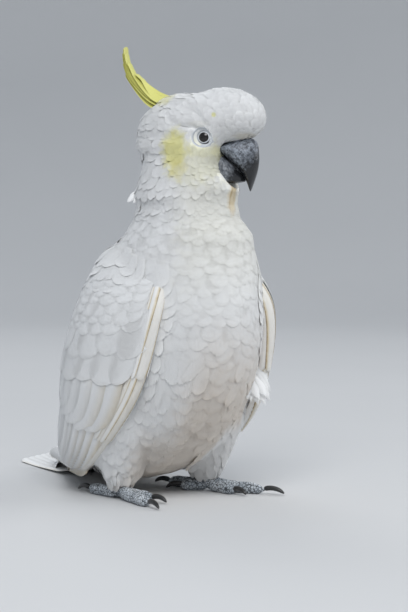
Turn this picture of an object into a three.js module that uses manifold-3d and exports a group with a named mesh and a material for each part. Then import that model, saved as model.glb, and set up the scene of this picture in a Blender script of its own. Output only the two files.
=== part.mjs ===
// A sulphur-crested cockatoo, life size, standing upright with its head turned to its left.
// Millimetres, +Z up. The bird faces -Y and its left side is at +X, with the floor at Z = 0.
// The body is one column of rounded sections from the vent to the crown, parted into trunk, neck and head.
// Wings, tail and crest are blades, one for each large feather, laid over a solid of smaller feathers.
import * as THREE from "three";
import { mergeVertices } from "three/addons/utils/BufferGeometryUtils.js";
import Module from "manifold-3d";

const wasm = await Module();
wasm.setup();

// Driving dimensions
const GAP = 0.35; // clearance between neighbouring pieces
const HEAD_TURN = 37; // degrees, head against trunk, towards the bird's left
const HEAD_AT = [11.6, -49.8, 282]; // the point midway between the eyes
const EYE_APART = 50; // outer face of one eye to that of the other
const EYE_RADIUS = 6.4;
const NECK_CUT = 233; // height of the cut between neck and head
const TRUNK_CUT = 186; // height of the cut between trunk and neck
const STANCE = 41; // each foot's distance from the middle
const TAIL_LENGTH = 205;
const WHITE = "#e9e8e4";
const SULPHUR = "#dcd06a";
const SLATE = "#3d3f43";
const SCALY_GREY = "#84888b";
const BLACK = "#131314";

const radians = THREE.MathUtils.degToRad;
const vec = (x, y, z) => new THREE.Vector3(x, y, z);

// Solids

// A sphere geometry whose rings are moved to where at(along, angle) says; along is 0 and 1 at its poles.
function swept(sides, rings, at) {
  const shape = new THREE.SphereGeometry(1, sides, rings);
  const { position, uv } = shape.attributes;
  for (let i = 0; i < position.count; i++) {
    const along = THREE.MathUtils.clamp(1 - uv.getY(i), 0, 1);
    const place = at(along, 2 * Math.PI * uv.getX(i));
    position.setXYZ(i, place.x, place.y, place.z);
  }
  return solidOf(shape);
}

function solidOf(geometry) {
  const bare = geometry.clone();
  bare.deleteAttribute("normal");
  bare.deleteAttribute("uv");
  const merged = mergeVertices(bare, 1e-3);
  const triVerts = new Uint32Array(merged.index.array);
  const vertProperties = merged.attributes.position.array;
  const made = new wasm.Manifold(new wasm.Mesh({ numProp: 3, vertProperties, triVerts }));
  if (made.volume() > 0) return made;
  triVerts.reverse();
  return new wasm.Manifold(new wasm.Mesh({ numProp: 3, vertProperties, triVerts }));
}

// The triangles of a solid, without the slivers that a cut leaves between two nearly equal corners.
function geometryOf(solid) {
  const { numProp, numVert, vertProperties, triVerts } = solid.getMesh();
  const corners = new Float32Array(numVert * 3);
  for (let i = 0; i < numVert; i++) {
    corners.set(vertProperties.subarray(i * numProp, i * numProp + 3), 3 * i);
  }
  const geometry = new THREE.BufferGeometry();
  geometry.setAttribute("position", new THREE.BufferAttribute(corners, 3));
  geometry.setIndex(new THREE.BufferAttribute(triVerts, 1));
  const merged = mergeVertices(geometry, 0.01);
  const kept = [];
  for (let i = 0; i < merged.index.count; i += 3) {
    const [a, b, c] = merged.index.array.slice(i, i + 3);
    if (a !== b && b !== c && c !== a) kept.push(a, b, c);
  }
  return merged.setIndex(kept);
}

const joined = (solids) => solids.reduce((all, one) => all.add(one));
const without = (solid, ...others) => others.reduce((left, one) => left.subtract(one), solid);
const largest = (solid) => solid.decompose().sort((a, b) => b.volume() - a.volume())[0];

const bird = new THREE.Group();

function node(name, solid, color, roughness = 0.8) {
  const material = new THREE.MeshStandardMaterial({ color, roughness, metalness: 0 });
  const mesh = new THREE.Mesh(geometryOf(largest(solid)), material);
  mesh.name = name;
  bird.add(mesh);
}

// 0 at one end of a limb, 1 along its middle and 0 again at the other end,
// with round ends of these lengths.
function roundEnds(along, start, end) {
  const from = (share) => Math.sqrt(Math.max(0, 1 - (1 - share) ** 2));
  if (along < start) return from(along / start);
  if (along > 1 - end) return from((1 - along) / end);
  return 1;
}

// A smooth curve through points.
function through(...points) {
  const corners = points.map((point) => vec(...point));
  return new THREE.CatmullRomCurve3(corners, false, "catmullrom", 0.5);
}

// A point forward, to the left and up from the middle of the eyes, in the turned head's own directions.
function inHead(forward, left, up) {
  const turn = radians(HEAD_TURN);
  return vec(
    HEAD_AT[0] + forward * Math.sin(turn) + left * Math.cos(turn),
    HEAD_AT[1] - forward * Math.cos(turn) + left * Math.sin(turn),
    HEAD_AT[2] + up,
  );
}

// The body column

// Each landmark: height, the section's centre, its reach forward and back, its half width,
// and its turn in degrees.
const LANDMARKS = [
  { at: "vent", z: 7, x: 0, y: 52, front: 0, back: 0, half: 0, turn: 0 },
  { at: "undertail", z: 14, x: 0, y: 46, front: 34, back: 34, half: 30, turn: 0 },
  { at: "lower belly", z: 36, x: 0, y: 22, front: 56, back: 60, half: 50, turn: 0 },
  { at: "belly", z: 66, x: 0, y: 8, front: 74, back: 72, half: 59, turn: 0 },
  { at: "breast", z: 100, x: 0, y: -3, front: 81, back: 72, half: 64, turn: 0 },
  { at: "upper breast", z: 134, x: 0, y: -12, front: 79, back: 66, half: 66, turn: 0 },
  { at: "shoulders", z: 164, x: 0, y: -20, front: 69, back: 60, half: 62, turn: 2 },
  { at: "neck root", z: 192, x: 1, y: -27, front: 55, back: 59, half: 57, turn: 8 },
  { at: "neck", z: 216, x: 2, y: -34, front: 43, back: 51, half: 46, turn: 18 },
  { at: "throat", z: 234, x: 3, y: -38, front: 34, back: 49, half: 40, turn: 28 },
  { at: "chin", z: 246, x: 3, y: -39, front: 34, back: 46, half: 37, turn: 34 },
  { at: "cheeks", z: 261, x: 4, y: -40, front: 20, back: 46, half: 35, turn: 37 },
  { at: "temples", z: 281, x: 4, y: -41, front: 29, back: 50, half: 31.5, turn: 37 },
  { at: "brow", z: 299, x: 6, y: -44, front: 40, back: 45, half: 28.5, turn: 37 },
  { at: "crown", z: 313, x: 8, y: -47, front: 30, back: 32, half: 21, turn: 37 },
  { at: "crown top", z: 318.5, x: 11, y: -51, front: 0, back: 0, half: 0, turn: 37 },
];
const places = through(...LANDMARKS.map(({ x, y, z }) => [x, y, z]));
const reaches = through(...LANDMARKS.map(({ front, back, half }) => [front, back, half]));
const turns = through(...LANDMARKS.map(({ turn }) => [turn, 0, 0]));

// The column's surface, grown outwards by some clearance.
// Angle 0 is the bird's left and a quarter turn its front.
function columnPoint(along, angle, grow) {
  const centre = places.getPoint(along);
  const reach = reaches.getPoint(along);
  const turn = radians(turns.getPoint(along).x);
  const open = along <= 0 || along >= 1 ? 0 : grow;
  const across = (Math.max(reach.z, 0) + open) * Math.cos(angle);
  const ahead = (Math.max(Math.sin(angle) > 0 ? reach.x : reach.y, 0) + open) * Math.sin(angle);
  return vec(
    centre.x + across * Math.cos(turn) + ahead * Math.sin(turn),
    centre.y + across * Math.sin(turn) - ahead * Math.cos(turn),
    centre.z + (along <= 0 ? -grow : along >= 1 ? grow : 0),
  );
}
const column = (grow, sides = 22, rings = 26) =>
  swept(sides, rings, (along, angle) => columnPoint(along, angle, grow));

// A round swelling of the plumage: its centre in the head's directions, and its half sizes.
function swelling(forward, left, up, ahead, across, high, grow, sides = 12, rings = 8) {
  return swept(sides, rings, (along, angle) => {
    const polar = Math.PI * along;
    const [a, b, c] = [ahead + grow, across + grow, high + grow];
    const ring = Math.sin(polar);
    const [out, aside] = [a * ring * Math.cos(angle), b * ring * Math.sin(angle)];
    return inHead(forward + out, left + aside, up + c * Math.cos(polar));
  });
}

function plumage(grow) {
  return joined([
    column(grow),
    swelling(9, 0, 16.5, 32.5, 26.5, 23, grow), // the forehead, fluffed over the bill
    swelling(-8, 0, -19, 19.5, 22.5, 22, grow), // the face beside the bill
  ]);
}
const body = plumage(0);
const bodyClear = plumage(GAP);

// Bill

// The upper mandible in the head's middle plane: the ridge and the cutting edge, from the root to the tip.
const inPlane = (...points) => through(...points.map(([ahead, up]) => [ahead, up, 0]));
const ridge = inPlane([6, 8], [24, 5], [33, -1], [36, -12], [35.4, -25], [30, -41]);
const cuttingEdge = inPlane([-4, -8], [7, -13.5], [15.5, -21], [22, -27], [27, -33], [29.6, -41]);
const UPPER_HALF_WIDTH = 12;
const LOWER_HALF_WIDTH = 10.5;

function upperBill(grow) {
  return swept(10, 10, (along, angle) => {
    const [top, edge] = [ridge.getPoint(along), cuttingEdge.getPoint(along)];
    const middle = top.clone().lerp(edge, 0.5);
    const size = along <= 0 || along >= 1 ? 0 : 1;
    const wide = (UPPER_HALF_WIDTH * roundEnds(along, 0.12, 1.0) + grow) * size;
    const tall = (top.distanceTo(edge) / 2 + grow) * size;
    const up = top.clone().sub(edge).normalize();
    const lift = tall * Math.sin(angle);
    const narrow = 1 - 0.28 * Math.max(0, Math.sin(angle)); // the ridge is narrower than the edges
    return inHead(middle.x + up.x * lift, wide * narrow * Math.cos(angle), middle.y + up.y * lift);
  });
}

// The lower mandible, a scoop whose front edge lies inside the hook: its upper edge and its underside.
const lowerEdge = inPlane([-8, -10], [6, -14], [15, -21.5], [21, -27], [25.6, -31.5]);
const lowerKeel = inPlane([-10, -27], [4, -33.5], [12, -36], [19, -36.5], [25.6, -34.5]);
function lowerBill(grow) {
  return swept(10, 7, (along, angle) => {
    const [top, keel] = [lowerEdge.getPoint(along), lowerKeel.getPoint(along)];
    const middle = top.clone().lerp(keel, 0.5);
    const size = along <= 0 || along >= 1 ? 0 : 1;
    const wide = (LOWER_HALF_WIDTH * roundEnds(along, 0.1, 0.7) + grow) * size;
    const tall = (top.distanceTo(keel) / 2 + grow) * size;
    const rise = Math.sin(angle);
    const lift = tall * Math.sign(rise) * Math.abs(rise) ** 0.6; // its sides are upright
    return inHead(middle.x, wide * Math.cos(angle), middle.y + lift);
  });
}

// Eyes

const EYE_CENTRE = EYE_APART / 2 - EYE_RADIUS;
function eyeball(side, radius) {
  return swept(10, 7, (along, angle) => {
    const polar = Math.PI * along;
    const ring = radius * Math.sin(polar);
    const out = EYE_CENTRE + radius * Math.cos(polar);
    return inHead(ring * Math.cos(angle), side * out, ring * Math.sin(angle));
  });
}

// The bare ring of skin round the eye lies a little below the feathers.
function eyeDish(side) {
  return swelling(0, side * (EYE_APART / 2 + 8), 0, 8.8, 10, 8.8, 0, 10, 5);
}

// Feathers

// A large feather: a thin blade along a path, its broad side facing as face(along) says, round at its tip.
function blade(path, width, thickness, face, sides = 6, rings = 6, tip = 0.1) {
  return swept(sides, rings, (share, angle) => {
    const along = (1 - Math.cos(Math.PI * share)) / 2; // rings crowd towards both ends
    const centre = path.getPoint(along);
    const ahead = path.getTangent(along);
    const across = ahead.clone().cross(face(along)).normalize();
    const out = across.clone().cross(ahead);
    const end = roundEnds(along, 0.15, tip);
    centre.addScaledVector(across, (width / 2) * end * Math.cos(angle));
    return centre.addScaledVector(out, (thickness / 2) * Math.sqrt(end) * Math.sin(angle));
  });
}

// Crest: feathers rooted along the crown, swept back in one thick sheaf that curls up.
const crestLine = inPlane([-14, 25], [-30, 29], [-48, 33], [-63, 43.5], [-71, 59], [-73, 74]);
const CREST = [
  { offset: 4, from: 0.02, to: 0.72, side: 1.5 },
  { offset: 1.2, from: 0, to: 1, side: 0 },
  { offset: -1.6, from: 0.04, to: 0.97, side: 2 },
  { offset: -4.4, from: 0.1, to: 0.76, side: -1 },
];
function crestFeather({ offset, from, to, side }) {
  const stations = [0, 0.2, 0.4, 0.6, 0.8, 1].map((share) => {
    const along = from + (to - from) * share;
    const here = crestLine.getPoint(along);
    const ahead = crestLine.getTangent(along);
    const out = offset * (1 - 0.9 * along);
    return inHead(here.x + ahead.y * out, side * (1 - along), here.y - ahead.x * out);
  });
  const left = inHead(0, 1, 0).sub(inHead(0, 0, 0));
  const path = new THREE.CatmullRomCurve3(stations);
  const face = (along) => left.clone().cross(path.getTangent(along));
  return blade(path, 13, 4.2, face, 6, 8, 0.06);
}

// Wings. Three lines run from the wrist to the wing's tip:
// its leading edge, its outermost line and its back edge.
const WING_STATIONS = [
  { leading: [36, -52, 188], outermost: [51, -14, 202], back: [28, 20, 207] },
  { leading: [54, -65, 150], outermost: [72, 2, 158], back: [13, 50, 170] },
  { leading: [60, -50, 96], outermost: [76, 25, 110], back: [6, 76, 122] },
  { leading: [63, -20, 57], outermost: [70, 43, 70], back: [6, 92, 76] },
  { leading: [57, 26, 26], outermost: [60, 68, 38], back: [7, 120, 42] },
  { leading: [42, 80, 15], outermost: [44, 108, 22], back: [8, 152, 26] },
  { leading: [26, 196, 12], outermost: [20, 198, 16], back: [12, 196, 19] },
];
const WING_LINES = ["leading", "outermost", "back"].map((line) =>
  through(...WING_STATIONS.map((station) => station[line])),
);
const WING_THICKNESS = 9;

// A point on a wing: along from wrist to tip, across from the leading edge to the back edge.
// Behind the rump the wings follow the tail to the side that it swings to.
function onWing(side, along, across) {
  const [a, b, c] = WING_LINES.map((line) => line.getPoint(along));
  const control = b.clone().multiplyScalar(2).addScaledVector(a, -0.5).addScaledVector(c, -0.5);
  const rest = 1 - across;
  const place = a.multiplyScalar(rest * rest).addScaledVector(control, 2 * rest * across);
  place.addScaledVector(c, across * across);
  const swung = Math.tan(radians(TAIL_SWING)) * Math.max(0, place.y - TAIL_ROOT[1]);
  return vec(side * place.x + swung, place.y, place.z);
}

function outOfWing(side, along, across) {
  const step = 0.01;
  const [s, t] = [Math.min(along, 1 - step), Math.min(across, 1 - step)];
  const here = onWing(side, s, t);
  const down = onWing(side, s + step, t).sub(here);
  const over = onWing(side, s, t + step).sub(here);
  const out = over.cross(down).normalize();
  return out.dot(vec(side, 0.2, 0.6)) < 0 ? out.negate() : out;
}

// The folded wing as one curved plate; beyond the tertials its back edge draws in to the primaries.
function plate(side) {
  return swept(12, 11, (share, angle) => {
    const along = 0.9 * share;
    const end = roundEnds(share, 0.2, 0.04);
    const reach = 1 - 0.7 * THREE.MathUtils.smoothstep(along, 0.6, 0.92);
    const across = reach * (0.5 - 0.5 * end * Math.cos(angle));
    const lift = (WING_THICKNESS / 2) * end * (1 - 0.5 * share) * Math.sin(angle);
    return onWing(side, along, across).addScaledVector(outOfWing(side, along, across), lift);
  });
}

// Flight feathers of one wing, from the outer primaries at the leading edge to the tertials on the back.
const FLIGHTS = [
  { across: 0.11, from: 0.69, to: 1.0, width: 19 },
  { across: 0.26, from: 0.7, to: 0.98, width: 22 },
  { across: 0.43, from: 0.64, to: 0.93, width: 24 },
  { across: 0.61, from: 0.57, to: 0.86, width: 26 },
  { across: 0.82, from: 0.5, to: 0.79, width: 28 },
];
function flightFeather(side, { across, from, to, width }) {
  const stations = [0, 0.33, 0.67, 1].map((share) => {
    const along = from + (to - from) * share;
    const lift = (0.6 + 2.4 * across) * Math.sqrt(share);
    return onWing(side, along, across).addScaledVector(outOfWing(side, along, across), lift);
  });
  const path = new THREE.CatmullRomCurve3(stations);
  const [root, tip] = [from, to].map((along) => outOfWing(side, along, across));
  const face = (share) => root.clone().lerp(tip, share);
  return blade(path, width, 4, face, 4, 5);
}

// Tail, laid back along the floor: overlapping feathers in a narrow fan, the middle pair on top.
const TAIL_FEATHERS = 7;
const TAIL_ROOT = [2, 52];
const TAIL_SWING = 13; // degrees towards the bird's left
function overFloor(ahead, aside, z) {
  const swing = radians(TAIL_SWING);
  return vec(
    TAIL_ROOT[0] + ahead * Math.sin(swing) + aside * Math.cos(swing),
    TAIL_ROOT[1] + ahead * Math.cos(swing) - aside * Math.sin(swing),
    z,
  );
}
function tailFeather(index) {
  const rank = index - (TAIL_FEATHERS - 1) / 2;
  const inner = TAIL_FEATHERS / 2 - Math.abs(rank);
  const length = TAIL_LENGTH - 9 + 2.6 * inner;
  const heights = [30, 13, 2.2, 1, 1];
  const stations = [0, 0.22, 0.48, 0.75, 1].map((share, i) =>
    overFloor(length * share, rank * (4.6 + 7 * share), heights[i] + 1.1 * inner),
  );
  return blade(new THREE.CatmullRomCurve3(stations), 26, 4, () => vec(0, 0, 1), 4);
}
// The coverts that fill the tail's root.
function tailCoverts(grow) {
  const stations = [-10, 30, 68, 100].map((ahead, i) => overFloor(ahead, 0, [34, 22, 9, 5][i]));
  const path = new THREE.CatmullRomCurve3(stations);
  return blade(path, 74 + 2 * grow, 26 + 2 * grow, () => vec(0, 0.3, 1), 12, 7);
}
const tail = joined([...Array(TAIL_FEATHERS).keys()].map(tailFeather)).add(tailCoverts(0));

// Legs

const FOOT_Y = 2;
// The thigh's trousers of feathers: each landmark's height, centre and half sizes.
const THIGH = [
  { z: 104, out: 36, y: 2, half: 0, deep: 0 },
  { z: 92, out: 38, y: 0, half: 21, deep: 30 },
  { z: 64, out: 40, y: 0, half: 27, deep: 37 },
  { z: 40, out: 40, y: 2, half: 21, deep: 28 },
  { z: 22, out: 40, y: 4, half: 15, deep: 18 },
  { z: 14, out: 40, y: 4, half: 11, deep: 12 },
  { z: 13, out: 40, y: 4, half: 0, deep: 0 },
];
const thighPlaces = through(...THIGH.map(({ out, y, z }) => [out, y, z]));
const thighSizes = through(...THIGH.map(({ half, deep }) => [half, deep, 0]));
function thigh(side, grow) {
  return swept(12, 10, (along, angle) => {
    const centre = thighPlaces.getPoint(along);
    const size = thighSizes.getPoint(along);
    const open = along <= 0 || along >= 1 ? 0 : grow;
    const out = (Math.max(size.x, 0) + open) * Math.cos(angle);
    const ahead = (Math.max(size.y, 0) + open) * Math.sin(angle);
    const up = along <= 0 ? grow : along >= 1 ? -grow : 0;
    return vec(side * centre.x + out, centre.y - ahead, centre.z + up);
  });
}

// Toes: turn is degrees outwards from straight ahead, length is without the claw.
const TOES = {
  inner_front: { turn: -18, length: 34, claw: 14 },
  outer_front: { turn: 5, length: 52, claw: 17 },
  inner_hind: { turn: -152, length: 22, claw: 12 },
  outer_hind: { turn: 172, length: 42, claw: 15 },
};
const FOOT_SPLAY = { right: 2, left: 24 }; // degrees that each whole foot turns outwards
const TOE_RADIUS = 5.3;
const CLAW_RADIUS = 2.5;
const TARSUS_RADIUS = 6.5;

function footPoint(side, splay, turn, ahead, up) {
  const angle = radians(turn + splay);
  return vec(side * (STANCE + ahead * Math.sin(angle)), FOOT_Y - ahead * Math.cos(angle), up);
}

function limb(points, radiusAt, sides = 8, rings = 7) {
  const path = new THREE.CatmullRomCurve3(points);
  return swept(sides, rings, (along, angle) => {
    const ahead = path.getTangent(along);
    const reference = Math.abs(ahead.z) > 0.9 ? vec(0, 1, 0) : vec(0, 0, 1);
    const across = ahead.clone().cross(reference).normalize();
    const up = across.clone().cross(ahead);
    const radius = radiusAt(along);
    return path
      .getPoint(along)
      .addScaledVector(across, radius * Math.cos(angle))
      .addScaledVector(up, radius * Math.sin(angle));
  });
}

function toe(side, splay, { turn, length }) {
  const points = [-2, 0.3 * length, 0.68 * length, length + 1].map((ahead, i) =>
    footPoint(side, splay, turn, ahead, [8, 4.9, 4.4, 3.4][i]),
  );
  const joints = (along) => 1.06 - 0.24 * along + 0.06 * Math.cos(18 * along);
  return limb(points, (along) => TOE_RADIUS * roundEnds(along, 0.16, 0.2) * joints(along));
}

function claw(side, splay, { turn, length, claw: reach }) {
  const points = [-3, 0.3 * reach, 0.72 * reach, reach].map((ahead, i) =>
    footPoint(side, splay, turn, length + ahead, [4.4, 5.6, 4.2, 1.2][i]),
  );
  return limb(points, (along) => CLAW_RADIUS * roundEnds(along, 0.12, 1), 6, 7);
}

function tarsus(side, grow) {
  const points = [
    vec(side * (STANCE - 1), FOOT_Y + 5, 27 + grow),
    vec(side * STANCE, FOOT_Y + 2, 14),
    vec(side * STANCE, FOOT_Y, 5.4 - grow),
  ];
  return limb(points, (along) => (TARSUS_RADIUS + grow) * roundEnds(along, 0.18, 0.3), 10, 6);
}

// Assembly

const floor = solidOf(new THREE.BoxGeometry(900, 900, 60).translate(0, 0, -30));
const cutAt = (height, tilt) =>
  solidOf(new THREE.BoxGeometry(300, 300, GAP).rotateX(radians(tilt)).translate(0, -40, height));

const eyesClear = [-1, 1].map((side) => eyeball(side, EYE_RADIUS + GAP));
const billClear = upperBill(GAP).add(lowerBill(GAP));
const crest = joined(CREST.map(crestFeather));
const fleshWithSockets = without(body, ...eyesClear, eyeDish(-1), eyeDish(1), billClear);
const [head, neck, trunk] = without(fleshWithSockets, cutAt(NECK_CUT, -14), cutAt(TRUNK_CUT, -20))
  .decompose()
  .filter((piece) => piece.volume() > 5000)
  .sort((a, b) => b.boundingBox().max[2] - a.boundingBox().max[2]);
node("head", head, WHITE);
node("neck", neck, WHITE);
node("trunk", without(trunk, floor), WHITE);
node("bill_upper", upperBill(0), SLATE, 0.5);
node("bill_lower", without(lowerBill(0), upperBill(GAP)), SLATE, 0.5);
node("crest", without(crest, bodyClear), SULPHUR);

const sides = { left: 1, right: -1 };
for (const [name, side] of Object.entries(sides)) {
  node(`eye_${name}`, eyeball(side, EYE_RADIUS), BLACK, 0.1);
  const splay = FOOT_SPLAY[name];
  const trousers = without(thigh(side, 0), bodyClear, floor);
  node(`thigh_${name}`, trousers, WHITE);
  node(`tarsus_${name}`, without(tarsus(side, 0), thigh(side, GAP), bodyClear, floor), SCALY_GREY);
  const earlier = [tarsus(side, GAP), thigh(side, GAP), bodyClear, floor];
  for (const [digit, sizes] of Object.entries(TOES)) {
    const nail = claw(side, splay, sizes);
    const finger = toe(side, splay, sizes);
    node(`claw_${digit}_${name}`, without(nail, finger, floor), BLACK, 0.35);
    node(`toe_${digit}_${name}`, without(finger, ...earlier), SCALY_GREY);
    earlier.push(finger);
  }
}

node("tail", without(tail, bodyClear, floor), WHITE);
// The wings lie against the body with a little room to spare.
const bed = joined([column(1.8, 16, 17), tailCoverts(GAP), thigh(1, 1), thigh(-1, 1)]);
for (const [name, side] of Object.entries(sides)) {
  const wing = joined([plate(side), ...FLIGHTS.map((sizes) => flightFeather(side, sizes))]);
  node(`wing_${name}`, without(wing, bed), WHITE);
}

// The origin is the middle of the whole bird's outline, on the floor.
const extent = new THREE.Box3().setFromObject(bird);
bird.position.set(-(extent.min.x + extent.max.x) / 2, -(extent.min.y + extent.max.y) / 2, -extent.min.z);

export default bird;
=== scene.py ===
import math

import bpy
import numpy as np
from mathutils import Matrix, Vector
from mathutils.bvhtree import BVHTree


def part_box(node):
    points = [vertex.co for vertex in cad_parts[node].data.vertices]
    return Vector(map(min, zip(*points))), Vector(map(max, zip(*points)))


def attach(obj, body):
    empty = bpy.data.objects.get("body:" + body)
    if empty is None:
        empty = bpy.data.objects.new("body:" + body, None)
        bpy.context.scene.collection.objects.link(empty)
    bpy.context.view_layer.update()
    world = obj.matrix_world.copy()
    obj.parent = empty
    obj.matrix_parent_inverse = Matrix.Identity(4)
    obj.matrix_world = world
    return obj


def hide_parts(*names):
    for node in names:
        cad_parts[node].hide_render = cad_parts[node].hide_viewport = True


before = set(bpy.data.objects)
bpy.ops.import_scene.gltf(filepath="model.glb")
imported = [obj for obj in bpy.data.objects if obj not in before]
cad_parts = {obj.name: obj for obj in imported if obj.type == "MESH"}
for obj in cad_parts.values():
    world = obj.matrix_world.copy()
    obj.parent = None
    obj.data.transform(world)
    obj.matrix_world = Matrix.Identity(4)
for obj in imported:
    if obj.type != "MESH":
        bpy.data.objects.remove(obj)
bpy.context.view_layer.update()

# ---- Camera: a long lens in front of the bird and to its right, level with its breast.
# Places are counted from the floor midway between the feet, with the body facing -Y. The solids of the eyes
# say where that is.
EYES_FROM_FEET = (0.0116, -0.0498, 0.282)
FOCAL_LENGTH = 119.1
LENS_SIDE = math.radians(-33)
LENS_DISTANCE, LENS_HEIGHT = 1.6, 0.242
AIM_RIGHT, AIM_DOWN = 0.01877, 0.05728

eye_corners = [np.array(corner) for eye in ("eye_left", "eye_right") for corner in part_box(eye)]
eyes_middle = np.array(eye_corners).mean(0)
standing_at = eyes_middle - EYES_FROM_FEET
up = np.array((0.0, 0.0, 1.0))
towards_lens = np.array((math.sin(LENS_SIDE), -math.cos(LENS_SIDE), 0))
right_of_lens = np.array((math.cos(LENS_SIDE), math.sin(LENS_SIDE), 0))


def placed(name, data, location=(0, 0, 0), facing=None):
    """A new object in the scene. A camera or a lamp also faces along a direction."""
    made = bpy.data.objects.new(name, data)
    made.location = location
    if facing is not None:
        made.rotation_euler = Vector(facing).to_track_quat("-Z", "Y").to_euler()
    bpy.context.scene.collection.objects.link(made)
    return made


camera = placed(
    "camera",
    bpy.data.cameras.new("camera"),
    standing_at + towards_lens * LENS_DISTANCE + up * LENS_HEIGHT,
    -towards_lens + right_of_lens * AIM_RIGHT - up * AIM_DOWN,
)
camera.data.lens = FOCAL_LENGTH
bpy.context.scene.camera = camera
bpy.context.scene.view_settings.view_transform = "Standard"

# ---- Floor and light: a sheet of pale grey paper that curves up all round into a wall, under a dim sky.
# A broad window at the front left lights it, with a weak fill from the right and a rim light from behind.
FLOOR_RADIUS = 2.0
CURVE_STEPS, CURVE_STEP = 12, 0.16
LAMP_DISTANCE, LAMP_RISE = 1.4, 0.15


class Socket:
    """A shader value or colour that can be used in Python expressions."""

    def __init__(self, tree, link):
        self.tree = tree
        self.link = link

    def node(self, kind, inputs=(), output=0, **settings):
        made = self.tree.nodes.new("ShaderNode" + kind)
        for key, value in settings.items():
            setattr(made, key, value)
        for key, value in dict(inputs).items():
            if isinstance(value, Socket):
                self.tree.links.new(value.link, made.inputs[key])
            elif value is not None:
                made.inputs[key].default_value = value
        return Socket(self.tree, made.outputs[output])

    def maths(self, operation, a, b=None):
        return self.node("Math", {0: a, 1: b}, operation=operation)

    def __add__(self, other):
        return self.maths("ADD", self, other)

    def __radd__(self, other):
        return self.maths("ADD", other, self)

    def __sub__(self, other):
        return self.maths("SUBTRACT", self, other)

    def __rsub__(self, other):
        return self.maths("SUBTRACT", other, self)

    def __mul__(self, other):
        return self.maths("MULTIPLY", self, other)

    def __rmul__(self, other):
        return self.maths("MULTIPLY", other, self)

    def __truediv__(self, other):
        return self.maths("DIVIDE", self, other)

    def __pow__(self, other):
        return self.maths("POWER", self, other)

    def smooth(self, low, high):
        """0 below low, 1 above high, eased between; with low above high it falls instead."""
        return self.node(
            "MapRange", {"Value": self, "From Min": low, "From Max": high}, interpolation_type="SMOOTHSTEP"
        )

    def mixed(self, colour, other):
        """This mask's mix: colour where it is 0, other where it is 1."""
        first, second = ((*c, 1) if isinstance(c, tuple) else c for c in (colour, other))
        inputs = {0: self, 6: first, 7: second}
        return self.node("Mix", inputs, output=2, data_type="RGBA", clamp_factor=True)

    def twin(self, output):
        """Another output of the node that this value comes from."""
        return Socket(self.tree, self.link.node.outputs[output])

    def scaled(self, factor):
        """A colour made lighter or darker."""
        return self.node("VectorMath", {0: self, 3: factor}, operation="SCALE")

    def noise(self, scale, detail=3):
        """Soft noise over this position, so many lumps to the metre."""
        return self.node("TexNoise", {"Scale": scale, "Detail": detail, "Vector": self})

    def along(self, direction, origin):
        """How far this position lies from an origin along a direction, in metres."""
        dot = self.node("VectorMath", {0: self, 1: tuple(direction)}, output=1, operation="DOT_PRODUCT")
        return dot - float(origin @ direction)

    def bump(self, height, strength, distance):
        """The normal that a height over this position gives."""
        return self.node("Bump", {"Height": height, "Strength": strength, "Distance": distance})

    def attribute(self, name):
        """A value that the mesh holds at its points."""
        return self.node("Attribute", attribute_name=name, output=2)


def finish_of(name, roughness, specular=0.3):
    """A new material with its shader, the Object position as a Socket, and a way to feed the shader."""
    material = bpy.data.materials.new(name)
    material.use_nodes = True
    shader = material.node_tree.nodes["Principled BSDF"]
    shader.inputs["Roughness"].default_value = roughness
    shader.inputs["Specular IOR Level"].default_value = specular
    place = Socket(material.node_tree, material.node_tree.nodes.new("ShaderNodeTexCoord").outputs["Object"])

    def feed(socket, value):
        if isinstance(value, Socket):
            material.node_tree.links.new(value.link, shader.inputs[socket])
        else:
            shader.inputs[socket].default_value = value

    return material, place, feed


def chosen(*pieces):
    """Leaves only these objects selected, the first of them active."""
    if bpy.context.object and bpy.context.object.mode != "OBJECT":
        bpy.ops.object.mode_set(mode="OBJECT")
    bpy.ops.object.select_all(action="DESELECT")
    for piece in pieces:
        piece.select_set(True)
    if pieces:
        bpy.context.view_layer.objects.active = pieces[0]


def smoothed(piece):
    """Sets a piece to smooth shading."""
    piece.data.polygons.foreach_set("use_smooth", [True] * len(piece.data.polygons))
    return piece


chosen()
bpy.ops.mesh.primitive_circle_add(vertices=96, radius=FLOOR_RADIUS, fill_type="NGON", location=(0, 0, 0))
floor = bpy.context.object
floor.name = "floor"
bpy.ops.object.mode_set(mode="EDIT")
bpy.ops.mesh.select_mode(type="FACE")
bpy.ops.mesh.select_all(action="SELECT")
bpy.ops.mesh.select_mode(type="EDGE")
bpy.ops.mesh.region_to_loop()
for step in range(CURVE_STEPS):
    lean = math.radians(90 / CURVE_STEPS * (step + 0.5))
    grow = 1 + CURVE_STEP * math.cos(lean) / (FLOOR_RADIUS + CURVE_STEP * step * 0.8)
    bpy.ops.mesh.extrude_region_move(TRANSFORM_OT_translate={"value": (0, 0, CURVE_STEP * math.sin(lean))})
    bpy.ops.transform.resize(value=(grow, grow, 1), center_override=(0, 0, 0))
bpy.ops.object.mode_set(mode="OBJECT")
paper, place, feed = finish_of("grey_paper", roughness=0.9)
feed("Base Color", place.noise(3.0).mixed((0.58, 0.585, 0.59), (0.61, 0.615, 0.62)))
floor.data.materials.append(paper)
smoothed(floor)

sky = bpy.data.worlds.new("sky")
sky.use_nodes = True
sky.node_tree.nodes["Background"].inputs["Color"].default_value = (0.60, 0.66, 0.74, 1)
sky.node_tree.nodes["Background"].inputs["Strength"].default_value = 0.6
bpy.context.scene.world = sky
for name, direction, size, power in (
    ("window", (-0.75, -1.15, 1.35), 1.4, 45),
    ("fill", (1.3, -0.7, 0.7), 1.6, 18),
    ("rim", (0.4, 1.2, 1.2), 1.2, 12),
):
    light = bpy.data.lights.new(name, "AREA")
    light.energy, light.size = power, size
    direction = np.array(direction)
    placed(name, light, standing_at + direction * LAMP_DISTANCE + up * LAMP_RISE, -direction)

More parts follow.
